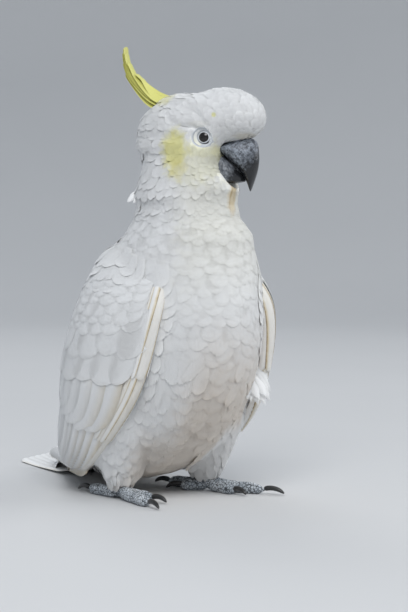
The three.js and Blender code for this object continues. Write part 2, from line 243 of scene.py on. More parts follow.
# ---- Skin: one closed hide under all the feathers, from the crown to the shanks and out along the arms.
# It is the shape of the solids with down in the hollows between body and wings, fused, smoothed and drawn in by
# the depth of the coat, then pushed in and out where the plumage of the head folds.
MM = 0.001
COAT_DEPTH = 1.5 * MM
SKIN_GRAIN = 1.5 * MM
SKIN_PASSES = 22
SKIN_KEPT = 0.68
MERGE_WITHIN = 0.00002
SWELLING = 0.4 * MM
HEAD_TURN = math.radians(37)
SIDES = ((1, "left"), (-1, "right"))
forward = np.array((math.sin(HEAD_TURN), -math.cos(HEAD_TURN), 0))
leftward = np.array((math.cos(HEAD_TURN), math.sin(HEAD_TURN), 0))


def in_head(ahead, left, high):
    """A point in the head's own directions, in millimetres from midway between the eyes."""
    ahead, left, high = (np.asarray(value, float)[..., None] * MM for value in (ahead, left, high))
    return eyes_middle + ahead * forward + left * leftward + high * up


def through(points, share):
    """Points of a smooth curve through points (millimetres from where the bird stands) at shares 0 to 1."""
    points = np.array(points, float) * MM
    padded = np.vstack([2 * points[0] - points[1], points, 2 * points[-1] - points[-2]])
    place = np.asarray(share, float) * (len(points) - 1)
    step = np.clip(np.floor(place).astype(int), 0, len(points) - 2)
    w = (place - step)[..., None]
    a, b, c, d = (padded[step + i] for i in range(4))
    start, end = (c - a) / 2, (d - b) / 2
    curve = (2 * b - 2 * c + start + end) * w**3 + (-3 * b + 3 * c - 2 * start - end) * w**2 + start * w + b
    line = b + start * w, c + end * (w - 1)
    return np.where(w < 0, line[0], np.where(w > 1, line[1], curve))


def eased(value, low, high):
    """0 up to low, 1 from high on, eased between."""
    share = np.clip((value - low) / (high - low), 0, 1)
    return share * share * (3 - 2 * share)


def unit(vectors):
    return vectors / np.maximum(np.linalg.norm(vectors, axis=-1, keepdims=True), 1e-12)


def object_of(name, vertices, faces):
    """A new smooth object with this mesh."""
    mesh = bpy.data.meshes.new(name)
    mesh.from_pydata(vertices, [], faces)
    made = smoothed(placed(name, mesh))
    mesh.update()
    return made


def tube_faces(rings, around, joined=False):
    """Faces of a tube, from ring to ring of so many points. Joined, the last ring meets the first."""
    faces = []
    for ring in range(rings if joined else rings - 1):
        here, there = ring * around, (ring + 1) % rings * around
        for j in range(around):
            beside = (j + 1) % around
            faces.append((here + j, here + beside, there + beside, there + j))
    return faces


def edited(piece, *steps):
    """Runs edit mode operators, each with its settings, on all of a piece."""
    chosen(piece)
    bpy.ops.object.mode_set(mode="EDIT")
    bpy.ops.mesh.select_all(action="SELECT")
    for operator, settings in steps:
        operator(**settings)
    bpy.ops.object.mode_set(mode="OBJECT")
    return piece


def modified(piece, kind, **settings):
    """Adds a modifier with these settings and applies it."""
    bpy.context.view_layer.objects.active = piece
    modifier = piece.modifiers.new(kind, kind)
    for key, value in settings.items():
        setattr(modifier, key, value)
    bpy.ops.object.modifier_apply(modifier=modifier.name)
    return piece


merge = (bpy.ops.mesh.remove_doubles, {"threshold": MERGE_WITHIN})
face_out = (bpy.ops.mesh.normals_make_consistent, {"inside": False})


def fused(name, pieces, grain, passes, depth):
    """One closed hide over several overlapping or touching solids, smoothed and drawn in by depth."""
    chosen(*pieces)
    bpy.ops.object.join()
    piece = bpy.context.object
    piece.name = piece.data.name = name
    edited(piece, merge)
    modified(piece, "DISPLACE", strength=SWELLING, mid_level=0)
    modified(piece, "REMESH", mode="VOXEL", voxel_size=grain)
    modified(piece, "SMOOTH", factor=0.5, iterations=passes)
    modified(piece, "DISPLACE", strength=-depth - SWELLING, mid_level=0)
    return smoothed(piece)


def copy_of(node):
    """A loose copy of a CAD node's mesh."""
    made = placed(node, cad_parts[node].data.copy())
    made.data.materials.clear()
    return made


def ball(centre, sizes, turned=0.0):
    """A closed ball with these half sizes in millimetres, turned about the upright."""
    chosen()
    bpy.ops.mesh.primitive_uv_sphere_add(segments=32, ring_count=20, radius=1, location=centre)
    made = bpy.context.object
    made.scale = [size * MM for size in sizes]
    made.rotation_euler = (0, 0, turned)
    bpy.ops.object.transform_apply(location=True, rotation=True, scale=True)
    return made


# The folded wing's surface, in millimetres: along it from wrist (0) to tip (1), and across it from its leading
# edge (0) to its back edge (1). Behind TAIL_ROOT the wings swing to the left with the tail.
LEADING_EDGE = (
    (36, -52, 188), (54, -65, 150), (60, -50, 96), (63, -20, 57), (57, 26, 26), (42, 80, 15), (26, 196, 12),
)
OUTERMOST = (
    (51, -14, 202), (72, 2, 158), (76, 25, 110), (70, 43, 70), (60, 68, 38), (44, 108, 22), (20, 198, 16),
)
BACK_EDGE = (
    (28, 20, 207), (13, 50, 170), (6, 76, 122), (6, 92, 76), (7, 120, 42), (8, 152, 26), (12, 196, 19),
)
TAIL_SWING = math.radians(13)
TAIL_ROOT = 52
EDGE_RADIUS = 2.4 * MM


def on_wing(side, along, across):
    """Points on a folded wing's surface, on the left (side 1) or the right (side -1)."""
    along, across = np.broadcast_arrays(np.asarray(along, float), np.asarray(across, float))
    front, middle, back = (through(line, along) for line in (LEADING_EDGE, OUTERMOST, BACK_EDGE))
    t = across[..., None]
    control = 2 * middle - 0.5 * front - 0.5 * back
    place = front * (1 - t) ** 2 + 2 * control * t * (1 - t) + back * t * t
    place = place * (side, 1, 1)
    place[..., 0] += math.tan(TAIL_SWING) * np.maximum(0, place[..., 1] - TAIL_ROOT * MM)
    return place + standing_at


def off_wing(side, along, across):
    """The direction straight out of a wing's surface."""
    step = 0.01
    here = on_wing(side, along, across)
    out = np.cross(on_wing(side, along, across + step) - here, on_wing(side, along + step, across) - here)
    out = unit(out)
    facing = np.sign((out * (side, 0.2, 0.6)).sum(-1, keepdims=True))
    return out * np.where(facing == 0, 1, facing)


def on_folded_wing(side, along, across):
    """Points on a wing and the directions out of them. Across below 0 curls round its leading edge, and the
    first feathers below the shoulder are tucked under the cape."""
    flat = np.maximum(across, 0)
    here, out = on_wing(side, along, flat), off_wing(side, along, flat)
    over = on_wing(side, along, flat + 0.02) - here
    span = np.linalg.norm(over, axis=-1, keepdims=True) / 0.02
    curl = np.clip(-np.minimum(across, 0)[..., None] * span / EDGE_RADIUS, 0, 2.2)
    turned = out * np.cos(curl) - unit(over) * np.sin(curl)
    tucked = 8.0 * MM * (1 - eased(along, -0.02, 0.1))
    return here + (turned - out) * EDGE_RADIUS - turned * tucked[..., None], turned


def narrowing(along):
    """How much of the wing's breadth the arm and coverts keep: all at the top, over a third at the tip."""
    return 1 - 0.62 * eased(along, 0.55, 0.9)


def arm(side):
    """The flesh of a folded wing, a flat closed pad under its coverts, deeper towards the body."""
    rings, around = 14, 24
    share = np.linspace(0.03, 0.97, rings)[:, None]
    angle = np.linspace(0, 2 * math.pi, around, endpoint=False)[None, :]
    along = np.broadcast_to(0.86 * share, (rings, around))
    end = np.sqrt(np.clip(1 - (2 * share - 1) ** 4, 0, 1))
    across = narrowing(along) * (0.5 - 0.47 * end * np.cos(angle))
    deep = np.where(np.sin(angle) < 0, 8.5 - 5.0 * share, 2.6 - 1.6 * share)
    lift = deep * MM * end * np.sign(np.sin(angle)) * np.abs(np.sin(angle)) ** 0.6
    points = on_wing(side, along, across) + lift[..., None] * off_wing(side, along, across)
    ends = [tuple(range(around))[::-1], tuple((rings - 1) * around + j for j in range(around))]
    made = object_of("arm", points.reshape(-1, 3), tube_faces(rings, around) + ends)
    return edited(made, face_out)


def head_places(points):
    """How far ahead, to the left and up from midway between the eyes points are, in millimetres."""
    apart = (points - eyes_middle) / MM
    return apart @ forward, apart @ leftward, apart @ up


def from_line(a, h, corners):
    """The distance of places (ahead, high) from a line through corners, in millimetres."""
    apart = np.full(a.shape, 1e9)
    for (a0, h0), (a1, h1) in zip(corners, corners[1:]):
        length = (a1 - a0) ** 2 + (h1 - h0) ** 2
        share = np.clip(((a - a0) * (a1 - a0) + (h - h0) * (h1 - h0)) / length, 0, 1)
        apart = np.minimum(apart, np.hypot(a - a0 - share * (a1 - a0), h - h0 - share * (h1 - h0)))
    return apart


# The crown and the cheeks under their feathers, in millimetres: middle (ahead, left, high) and half sizes.
HEAD_BALLS = (((9, 0, 16.5), (31.5, 25.5, 22)), ((-8, 0, -19), (18.5, 21.5, 21)))
# Creases and swellings of the head, in millimetres: where they run (ahead, high), how wide they are, how far
# they stand out, and whether they stop short of the middle.
CREASES = (
    (((-13, 24), (-6, 20.5), (0, 12.5), (4, 9)), 2.4, -1.4, True),
    (((-29, 18), (-24, 11), (-14, 7.8), (-7, 7.6)), 2.3, -1.6, True),
    (((-15, 17), (-15, 17.1)), 8.0, 1.2, True),
    (((33, 12), (33, 12.1)), 14.0, 2.8, False),
    (((-44, 27), (-30, 34)), 8.0, 2.6, False),
    (((-12, -8), (-10, -22)), 7.0, 0.8, True),
    (((7, -14), (11, -27)), 4.5, 1.6, True),
)
# How far the plumage stands off the nape and the throat, by height above the floor, and how high the eyes are.
NAPE = (
    (206, 0), (214, -0.6), (222, -1.2), (229, -2.0), (235, 2.4), (242, 2.0), (257, -0.4), (268, -1.8),
    (276, 2.0), (281.5, 0.2), (288, 2.6), (296, 3.2), (301, 1.8), (305, -0.4), (310, -0.2), (316, 0.8),
)
THROAT = ((196, 0), (206, 1.5), (214, -1.0), (223, -4.5), (232, -4.0), (241, -1.5), (250, 0))
EYE_HEIGHT = 282


def shaped(points):
    """How far to push the skin out, in metres, for the folds and swellings of the plumage."""
    a, left, h = head_places(points)
    push = np.zeros(len(points))
    on_side = eased(np.abs(left), 6, 14)
    for line, wide, deep, sides_only in CREASES:
        push += deep * np.exp(-((from_line(a, h, line) / wide) ** 2)) * (on_side if sides_only else 1)
    for profile, share in ((NAPE, eased(-a, 10, 27)), (THROAT, eased(a, -12, 8))):
        heights, offs = np.array(profile).T
        push += share * np.interp(h + EYE_HEIGHT, heights, offs)
    ruff = np.hypot(a - 4, h + 27)
    push += 1.3 * (1 - eased(ruff, 33, 37)) * eased(-h, 26, 38) * eased(a, -22, -8)
    return push * MM


def arrays_of(piece):
    """A mesh's points and the directions out of them."""
    mesh = piece.data
    points, outs = (np.empty(len(mesh.vertices) * 3) for _ in range(2))
    mesh.vertices.foreach_get("co", points)
    mesh.vertices.foreach_get("normal", outs)
    return points.reshape(-1, 3), outs.reshape(-1, 3)


def tree_of(piece):
    """A piece's surface in the form that rays and nearest places are found on."""
    return BVHTree.FromPolygons(arrays_of(piece)[0].tolist(), [tuple(p.vertices) for p in piece.data.polygons])


trunk_form = tree_of(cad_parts["trunk"])


def web(side):
    """Down that fills the hollows between the front and the top of a folded wing and the body."""
    balls = []
    front = [(along, 0.035, 1.5) for along in np.linspace(0.12, 0.66, 15)]
    top = [(0.035, across, 4.0) for across in np.linspace(0.1, 0.98, 10)]
    for along, across, deep in front + top:
        edge = on_wing(side, along, across) - deep * MM * off_wing(side, along, across)
        flank = np.array(trunk_form.find_nearest(edge)[0])
        balls.append(ball((edge + flank) / 2, (np.linalg.norm(edge - flank) / MM / 2 + 2.5,) * 3))
    return balls


def down_the_back(run):
    """The middle of the back between the wings, and the way out of it."""
    middle = through(BACK_EDGE, run) * (0, 1, 1) + standing_at
    along = unit(through(BACK_EDGE, run + 0.01) - through(BACK_EDGE, run - 0.01)) * (0, 1, 1)
    middle[0] += math.tan(TAIL_SWING) * max(0, middle[1] - standing_at[1] - TAIL_ROOT * MM)
    return middle, unit(np.array((0, -along[2], along[1])))


def mantle():
    """Down that fills the hollow of the back between the wings."""
    balls = []
    for run in np.arange(-0.105, 0.84, 0.035):
        middle, out = down_the_back(run)
        wide = np.interp(run, (-0.1, 0, 0.3, 0.8), (15, 27, 17, 14))
        balls.append(ball(middle - out * 10 * MM, (wide, 11, 11)))
    return balls


def fleshed(name, nodes, extra, grain, passes):
    """These solids of the body, with the crown and the cheeks, as one hide, drawn in and shaped."""
    pieces = [copy_of(node) for node in nodes]
    pieces += [ball(in_head(*middle), sizes, HEAD_TURN - math.pi / 2) for middle, sizes in HEAD_BALLS]
    made = fused(name, pieces + extra, grain, passes, COAT_DEPTH)
    points, outs = arrays_of(made)
    made.data.vertices.foreach_set("co", (points + outs * shaped(points)[:, None]).ravel())
    made.data.update()
    return made


BODY = ("head", "neck", "trunk", "thigh_left", "thigh_right")
skin = fleshed("skin", BODY, [arm(1), arm(-1)] + web(1) + web(-1) + mantle(), SKIN_GRAIN, SKIN_PASSES)
hide = tree_of(skin)
modified(skin, "DECIMATE", ratio=SKIN_KEPT)
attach(skin, "root")
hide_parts("head", "neck", "trunk", "thigh_left", "thigh_right")

WHITE, CREAMY_WHITE = (0.85, 0.855, 0.855), (0.875, 0.875, 0.865)
# The throat's cream is its own colour; the second colour on this line is painted shade, darker and warmer, for
# low on the belly.
THROAT_CREAM, BELLY_PAINTED_SHADE = (0.83, 0.815, 0.71), (0.75, 0.67, 0.585)
EDGE_CREAM, EDGE_BROWN = (0.64, 0.53, 0.34), (0.30, 0.21, 0.12)
# Yellow marks and stains of the head: the middle and half sizes (ahead, high) in millimetres, the strength and
# the colour of each. One is on the right side alone, and four have a middle and a half size to the left too.
HEAD_MARKS = (
    ((-4, -19), (25, 20), 0.75, (0.80, 0.785, 0.60), {}),
    ((-2, -10), (17, 6), 0.3, (0.82, 0.80, 0.45), {}),
    ((-21, -10), (12, 18), 1.0, (0.84, 0.80, 0.36), {}),
    ((-17, -24), (8, 10), 0.4, (0.84, 0.76, 0.30), {}),
    ((14, -13), (9, 8), 0.5, (0.74, 0.70, 0.38), {}),
    ((29, 0.5), (9, 3.5), 0.45, (0.66, 0.60, 0.44), {}),
    ((-3, 10), (8, 3), 0.2, (0.72, 0.70, 0.55), {}),
    ((8.5, 17), (2.2, 2.2), 0.9, (0.80, 0.78, 0.36), {"side": -1}),
    ((18, -46), (9, 14), 0.75, (0.76, 0.60, 0.34), {"middle": (-5, 8)}),
    ((20, -49), (6, 11), 0.9, (0.50, 0.34, 0.15), {"middle": (-8, 2.2)}),
    ((22, -46), (6, 10), 0.8, (0.56, 0.40, 0.20), {"middle": (-2, 1.5)}),
    ((10, -61), (6, 4), 0.6, (0.80, 0.70, 0.40), {"middle": (-6, 6)}),
    ((-38, 30), (12, 6), 0.6, (0.84, 0.80, 0.38), {}),
)


def plumage(name, barbs=False):
    """White plumage with the bird's yellow, cream and stained places and painted shade low on the belly, the
    same on skin and feathers; vanes also get painted shade at their roots.
    """
    material, place, feed = finish_of(name, roughness=0.62, specular=0.25)
    feed("Subsurface Weight", 0.35)
    feed("Subsurface Radius", (1.0, 0.95, 0.9))
    feed("Subsurface Scale", 0.002)
    ahead, left, high = (place.along(way, eyes_middle) * 1000 for way in (forward, leftward, up))
    aside, behind = (place.along(np.array(way), standing_at) * 1000 for way in ((1, 0, 0), (0, 1, 0)))
    ragged = place.noise(160) * 1.1 - 0.55

    def patch(centre, sizes, strength, side=None, middle=None):
        """A soft-edged oval mark, on both sides, on one, or round a middle (left, half size)."""
        across, tall = (ahead - centre[0]) / sizes[0], (high - centre[1]) / sizes[1]
        apart = across * across + tall * tall
        if middle is not None:
            sideways = (left - middle[0]) / middle[1]
            apart = apart + sideways * sideways
        mark = (apart**0.5 + ragged * 0.9).smooth(1.2, 0.45) * strength
        return mark if side is None else mark * (left * side).smooth(0, 8)

    colour = place.noise(38).mixed(WHITE, CREAMY_WHITE)
    throat = (high + ragged * 20).smooth(-20, -45) * (high + ragged * 20).smooth(-150, -60) * 0.6
    throat = throat * (ahead + ragged * 20).smooth(-28, 0)
    colour = throat.mixed(colour, THROAT_CREAM)

    # Painted shade, darker and warmer, low on the belly, less of it on the left thigh, and none at the sides
    # and behind.
    belly = (high + ragged * 30).smooth(-120, -215) * (aside + ragged * 14).smooth(-42, -12)
    lowest = (high + ragged * 20).smooth(-214, -246) * (aside + ragged * 14).smooth(-56, -34)
    left_thigh = high.smooth(-218, -236) * (aside + ragged * 10).smooth(16, 28) * 0.85
    painted_belly_shade = belly.maths("MAXIMUM", belly, lowest * 0.85) * (1 - left_thigh)
    painted_belly_shade = painted_belly_shade * aside.smooth(58, 46) * behind.smooth(50, 10)
    # The loose feathers, with a tone above 1.6, get none of this painted shade.
    if barbs:
        tone = place.attribute("tone")
        painted_belly_shade = painted_belly_shade * tone.smooth(1.6, 1.2)
    colour = painted_belly_shade.mixed(colour, BELLY_PAINTED_SHADE)
    for centre, sizes, strength, tint, where in HEAD_MARKS:
        colour = patch(centre, sizes, strength, **where).mixed(colour, tint)

    if barbs:
        across = place.node("SeparateXYZ", {"Vector": place.node("UVMap", uv_map="vane")})
        shaftwise = across.twin("Y")
        slanted = (shaftwise * 26 - across.maths("ABSOLUTE", across) * 9) * 6.2832
        cream = place.attribute("cream")
        # Painted shade and light: each vane is darker towards its root and lighter towards its tip, mixed with
        # its own random tone.
        root_shade_and_tone = shaftwise.smooth(0.45, 0.95) * 0.5 + tone * 0.5
        colour = root_shade_and_tone.mixed(colour.scaled(0.94), colour.scaled(1.03))
        colour = (cream * (0.8 + ragged * 0.5)).mixed(colour, EDGE_CREAM)
        colour = (cream + ragged * 0.3).smooth(1.0, 1.3).mixed(colour, EDGE_BROWN)
        feed("Normal", place.bump(slanted.maths("SINE", slanted), 0.15, 0.0001))
    feed("Base Color", colour)
    return material


skin.data.materials.append(plumage("plumage_down"))

# ---- Contour feathers: small overlapping vanes over the head, neck, breast, belly, back and shoulders.
# Each is a thin closed blade with a fringed tip, rooted in the skin and lying back along the body. They lie on
# smooth forms without the skin's hollows: torso for the body, and cloak, which spans body and folded wings.
feathered = plumage("plumage_vaned", barbs=True)
UV_PATCH = 0.003


def form_under(nodes, extra, passes, grain):
    """A smoother form for feathers to lie over, closed across the creases between these solids."""
    form = fleshed("form", nodes, extra, grain, passes)
    tree = tree_of(form)
    bpy.data.objects.remove(form)
    return tree


torso = form_under(BODY, [], SKIN_PASSES, 2 * MM)
cloak = form_under(BODY + ("wing_left", "wing_right"), mantle() + web(1) + web(-1), 12, 3 * MM)


def nearest(points, ground):
    """The nearest points on a form and its outward directions there."""
    found = [ground.find_nearest(point) for point in points.reshape(-1, 3)]
    return tuple(np.array([f[i] for f in found]).reshape(points.shape) for i in (0, 1))


def vane(rows, columns, blunt, fringe, narrow, dice):
    """One feather flat: how far across and along its points are, as shares of its width and length."""
    along = np.linspace(0, 1, rows)[:, None] * np.ones((1, columns))
    across = np.linspace(-1, 1, columns)[None, :] * np.ones((rows, 1))
    swell = narrow + (1 - narrow) * np.sin(np.pi * np.minimum(along * 0.78 + 0.04, 1))
    wide = across * swell
    reach = along - blunt * along**3 * across**2
    teeth = dice.uniform(-1, 0.4, columns) * fringe
    teeth[1::2] -= fringe
    reach[-1] += teeth
    reach[-2] += 0.45 * teeth
    return wide, reach, along, across


def vanes(count, kinds, dice, **shape):
    """So many feathers, each picked from a few kinds of one shape."""
    shapes = [vane(dice=dice, **shape) for _ in range(kinds)]
    pick = dice.integers(0, kinds, count)
    return (np.stack([s[i] for s in shapes])[pick] for i in range(4))


def for_each(value, count):
    """A value for each feather, whether it is given once or feather by feather."""
    return np.broadcast_to(value, count)[:, None, None]


def closed_grid(rows, columns):
    """Faces of a grid and a second grid behind it that shares its border, so that a blade is closed."""
    inside = (rows - 2) * (columns - 2)
    front = np.arange(rows * columns).reshape(rows, columns)
    back = front.copy()
    back[1:-1, 1:-1] = rows * columns + np.arange(inside).reshape(rows - 2, columns - 2)
    front_faces, back_faces = (
        np.stack([g[:-1, :-1], g[:-1, 1:], g[1:, 1:], g[1:, :-1]], -1).reshape(-1, 4) for g in (front, back)
    )
    border = np.ones((rows, columns), bool)
    border[1:-1, 1:-1] = False
    rim = np.concatenate([border.ravel(), np.zeros(inside, bool)])
    return np.vstack([front_faces, back_faces[:, ::-1]]), rim


def point_values(mesh, label, values):
    """Keeps a value at each point of a mesh, for its material."""
    mesh.attributes.new(label, "FLOAT", "POINT").data.foreach_set("value", values.astype(np.float32).ravel())


def coat_piece(name, grids, outs, thickness, root_uv, tone, material=feathered, cream=None):
    """Joins a tract's blades into one piece. grids and outs are feathers x rows x columns x 3."""
    count, rows, columns, _ = grids.shape
    faces, rim = closed_grid(rows, columns)
    behind = grids[:, 1:-1, 1:-1] - outs[:, 1:-1, 1:-1] * (thickness * MM)
    points = np.concatenate([grids.reshape(count, -1, 3), behind.reshape(count, -1, 3)], 1)
    each = points.shape[1]
    every = (faces[None] + (np.arange(count) * each)[:, None, None]).reshape(-1, 4)
    mesh = bpy.data.meshes.new(name)
    mesh.vertices.add(count * each)
    mesh.vertices.foreach_set("co", points.ravel())
    mesh.loops.add(every.size)
    mesh.loops.foreach_set("vertex_index", every.ravel())
    mesh.polygons.add(len(every))
    mesh.polygons.foreach_set("loop_start", np.arange(0, every.size, 4))
    mesh.update(calc_edges=True)
    piece = smoothed(placed(name, mesh))

    # The two faces of a blade are shaded apart, so its rim is marked sharp.
    rims = np.tile(rim, count)
    ends = np.empty(len(mesh.edges) * 2, int)
    mesh.edges.foreach_get("vertices", ends)
    mesh.edges.foreach_set("use_edge_sharp", rims[ends].reshape(-1, 2).all(1))

    spread = np.stack(np.meshgrid(np.linspace(-1, 1, columns), np.linspace(0, 1, rows)), -1)
    spread = np.concatenate([spread.reshape(-1, 2), spread[1:-1, 1:-1].reshape(-1, 2)])
    corner, feather = every.ravel() % each, every.ravel() // each
    bake = root_uv[feather] + (spread[corner] * (0.5, 1) - (0, 0.5)) * UV_PATCH
    for label, values in (("OFBake", bake), ("vane", spread[corner])):
        mesh.uv_layers.new(name=label).uv.foreach_set("vector", values.astype(np.float32).ravel())
    point_values(mesh, "tone", np.repeat(tone, each))
    if cream is not None:
        cream = np.concatenate([cream.reshape(count, -1), cream[:, 1:-1, 1:-1].reshape(count, -1)], 1)
        point_values(mesh, "cream", cream)
    mesh.materials.append(material)
    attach(piece, "root")
    return piece


def lie_of(points, outs):
    """Which way feathers lie: back from the bill over the head, down the neck and body, then to the tail."""
    from_bill = unit(points - in_head(24, 0, -8))
    from_bill[:, 2] -= 0.55 * eased(-((points - eyes_middle) @ forward), -5 * MM, 25 * MM)
    height = points[:, 2:3]
    down = np.zeros_like(points) + (0, 0.22, -1)
    under = np.zeros_like(points) + (0, 1, -0.3)
    body = down + (under - down) * eased(-height, -62 * MM, -30 * MM)
    head = eased(height, 232 * MM, 262 * MM)
    flow = from_bill * head + unit(body) * (1 - head)
    side = np.sign((points - eyes_middle) @ leftward)[:, None]
    from_eye = points - (eyes_middle + side * leftward * 22 * MM)
    near_eye = 1 - eased(np.linalg.norm(from_eye, axis=1)[:, None], 8 * MM, 17 * MM)
    from_eye = unit(from_eye)
    inward = np.minimum((flow * from_eye).sum(1, keepdims=True), 0)
    flow = flow - inward * from_eye * near_eye
    return unit(flow - outs * (flow * outs).sum(1, keepdims=True))


def laid(name, roots, lengths, widths, lift, root_uv, seed, shape, bend, low, cup, tilt=0.05, thickness=0.1,
         stray=0.08, ground=hide, lie=None, outs=None, hang=0.0):
    """Feathers laid on a form from their roots. Lengths, widths and lift are in metres, thickness is in
    millimetres, and the rest in shares. A blade that a crease would fold or tear is left out."""
    dice = np.random.default_rng(seed)
    count = len(roots)
    rows, columns = shape["rows"], shape["columns"]
    if outs is None:
        outs = nearest(roots, ground)[1]
    lie = lie_of(roots, outs) if lie is None else unit(lie - outs * (lie * outs).sum(1, keepdims=True))
    aside = np.cross(outs, lie)
    turn = dice.normal(0, stray, count)[:, None]
    lie, aside = lie * np.cos(turn) + aside * np.sin(turn), aside * np.cos(turn) - lie * np.sin(turn)
    wide, reach, along, across = vanes(count, 24, dice, **shape)
    lengths = np.broadcast_to(lengths, count) * dice.uniform(0.9, 1.12, count)
    widths = np.broadcast_to(widths, count) * dice.uniform(0.92, 1.08, count)
    flat = roots[:, None, None] + lie[:, None, None] * (reach * lengths[:, None, None])[..., None]
    flat = flat + aside[:, None, None] * (wide * widths[:, None, None] / 2)[..., None]
    spots, ups = nearest(flat, ground)
    spots = spots + (flat - spots) * (for_each(hang, count) * along)[..., None]
    raised = for_each(lift, count) * dice.uniform(0.8, 1.2, count)[:, None, None]
    height = raised * (low + (1 - low) * along**bend - cup * across**2 * along + tilt * across)
    grids = spots + ups * height[..., None]
    shaft = columns // 2
    turned = (ups[:, 1:, shaft] * ups[:, :-1, shaft]).sum(-1).min(1)
    steps = np.linalg.norm(np.diff(spots[:, :, shaft], axis=1), axis=-1).max(1)
    sound = (turned > 0.62) & (steps < 2.5 * lengths / (rows - 1))
    tone = dice.uniform(0, 1, count)
    return coat_piece(name, grids[sound], ups[sound], thickness, np.asarray(root_uv)[sound], tone[sound])


# The folded wings cover what lies under them, so no body feathers are rooted there.
marks_along, marks_across = np.meshgrid(np.linspace(0.03, 0.84, 60), np.linspace(0.02, 0.98, 26), indexing="ij")
marks_across = marks_across * narrowing(marks_along)
wing_marks = np.concatenate([on_wing(side, marks_along, marks_across).reshape(-1, 3) for side in (1, -1)])
wings = [tree_of(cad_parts["wing_" + word]) for _, word in SIDES]
WING_COVERS = 14 * MM


def apart_from_wings(points):
    """The distance from each point to the nearest place on a folded wing."""
    return np.array([np.sqrt(((wing_marks - point) ** 2).sum(1).min()) for point in points])


def rooted(origins, directions, ground=hide, outermost=False):
    """Where rays from inside the body leave a form, and which of them do so clear of the wings. Outermost
    takes the last place where a ray leaves it, wings or not."""
    spots = []
    for origin, direction in zip(np.array(origins), np.array(directions)):
        if outermost:
            hit = ground.ray_cast(origin + direction * 0.2, -direction)[0]
            lost = hit is None
        else:
            hit, out, _, _ = ground.ray_cast(origin, direction)
            lost = hit is None or any(
                wing.ray_cast(hit - out * MM, out, WING_COVERS)[0] is not None for wing in wings
            )
        spots.append((np.nan,) * 3 if lost else tuple(hit))
    spots = np.array(spots)
    return spots, ~np.isnan(spots[:, 0])


# The body's axis in millimetres, from the belly to the head, which the rows of feathers go round.
AXIS = (
    (0, 20, 20), (0, 8, 66), (0, -3, 100), (0, -12, 134), (0, -20, 164),
    (1, -27, 192), (2, -34, 216), (3, -38, 234), (4, -41, 268),
)
LOWEST_CENTRE = 62.0
CAPE_FRONT, CAPE_BACK = 168, 180


def axis_at(height):
    """Points of the body's axis at heights in millimetres."""
    x, y, z = np.array(AXIS, float).T
    return np.stack([np.interp(height, z, x), np.interp(height, z, y), height], -1) * MM + standing_at


def rows_apart(height):
    """Millimetres between rows of feathers, less towards the neck."""
    return np.interp(height, (60, 120, 190, 240), (8.5, 8.5, 7.5, 6))


def feathers_apart(height):
    """Millimetres between the feathers of a row."""
    return np.interp(height, (60, 190, 240), (11.5, 10, 8))


def body_rows(top, bottom, seed, ground, cape=False):
    """Roots in staggered rows round the body, from a height down to the rows that close under the belly. A
    cape's rows end at the shoulders instead, lower in front, and run over the folded wings."""
    dice = np.random.default_rng(seed)
    origins, directions, marks = [], [], []
    height, slope, row = top, 0.0, 0
    while slope < 86 and not (cape and height < bottom):
        place = axis_at(np.array([max(height, LOWEST_CENTRE)]))[0]
        radius = 62 * max(math.cos(math.radians(slope)), 0.05)
        count = max(int(2 * math.pi * radius / feathers_apart(height)), 3)
        even = (np.arange(count) + 0.5 * (row % 2)) / count * 2 * math.pi
        angles = even + dice.normal(0, 0.14 / count * 6, count) * 0.4
        slopes = np.radians(slope + dice.normal(0, 1.0, count))
        jitter = dice.normal(0, 0.12 * rows_apart(height), count) * MM
        for angle, tip, rise in zip(angles, slopes, jitter):
            origins.append(place + (0, 0, rise))
            level = math.cos(tip)
            directions.append((math.cos(angle) * level, -math.sin(angle) * level, -math.sin(tip)))
            marks.append((angle / (2 * math.pi) % 1, row))
        if height > bottom:
            height -= rows_apart(height)
        else:
            slope += math.degrees(rows_apart(height) / 60)
        row += 1
    spots, clear = rooted(origins, directions, ground, cape)
    marks = np.array(marks)
    marks[:, 1] = 0.95 - 0.9 * marks[:, 1] / row
    if cape:
        aside = np.abs(spots[:, 0] - standing_at[0])
        lowest = np.where(spots[:, 1] < standing_at[1] - 38 * MM, CAPE_FRONT, CAPE_BACK)
        clear &= spots[:, 2] > (lowest + np.interp(aside, (0.02, 0.05), (-8, 0))) * MM
    else:
        clear[clear] = apart_from_wings(spots[clear]) > 4.2 * MM
    return spots[clear], marks[clear]


lower_spots, lower_marks = body_rows(176, 62, 11, torso)
cape_spots, cape_marks = body_rows(242, 166, 13, cloak, cape=True)
in_front = (lower_spots - axis_at(lower_spots[:, 2] * 1000)) @ np.array((0.2, -1, 0)) > 0
upper = lower_spots[:, 2] > 100 * MM
for name, ground, spots, marks in (
    ("feathers_breast", torso, lower_spots[in_front & upper], lower_marks[in_front & upper]),
    ("feathers_belly", torso, lower_spots[in_front & ~upper], lower_marks[in_front & ~upper]),
    ("feathers_back", torso, lower_spots[~in_front], lower_marks[~in_front]),
    ("feathers_shoulders", cloak, cape_spots, cape_marks),
):
    height = spots[:, 2]
    sizes = np.interp(height, (0.05, 0.12, 0.19, 0.245), (27, 25, 21, 16)) * MM
    broad = np.interp(height, (0.05, 0.12, 0.19, 0.245), (21, 20, 17, 13)) * MM
    lifts = np.interp(height, (0.05, 0.12, 0.165, 0.19, 0.245), (1.7, 1.3, 1.0, 0.9, 0.8)) * MM
    if ground == cloak:
        behind = np.interp(spots[:, 1] - standing_at[1], (0.01, 0.03), (1, 0.3))
        lifts = lifts + behind * np.interp(apart_from_wings(spots), (0.005, 0.016), (3.6 * MM, 0))
    shape = dict(rows=7, columns=11, fringe=0.014, blunt=0.2, narrow=0.55)
    laid(name, spots, sizes, broad, lifts, marks, 12, shape, bend=1.1, low=0.35, cup=0.2, ground=ground)

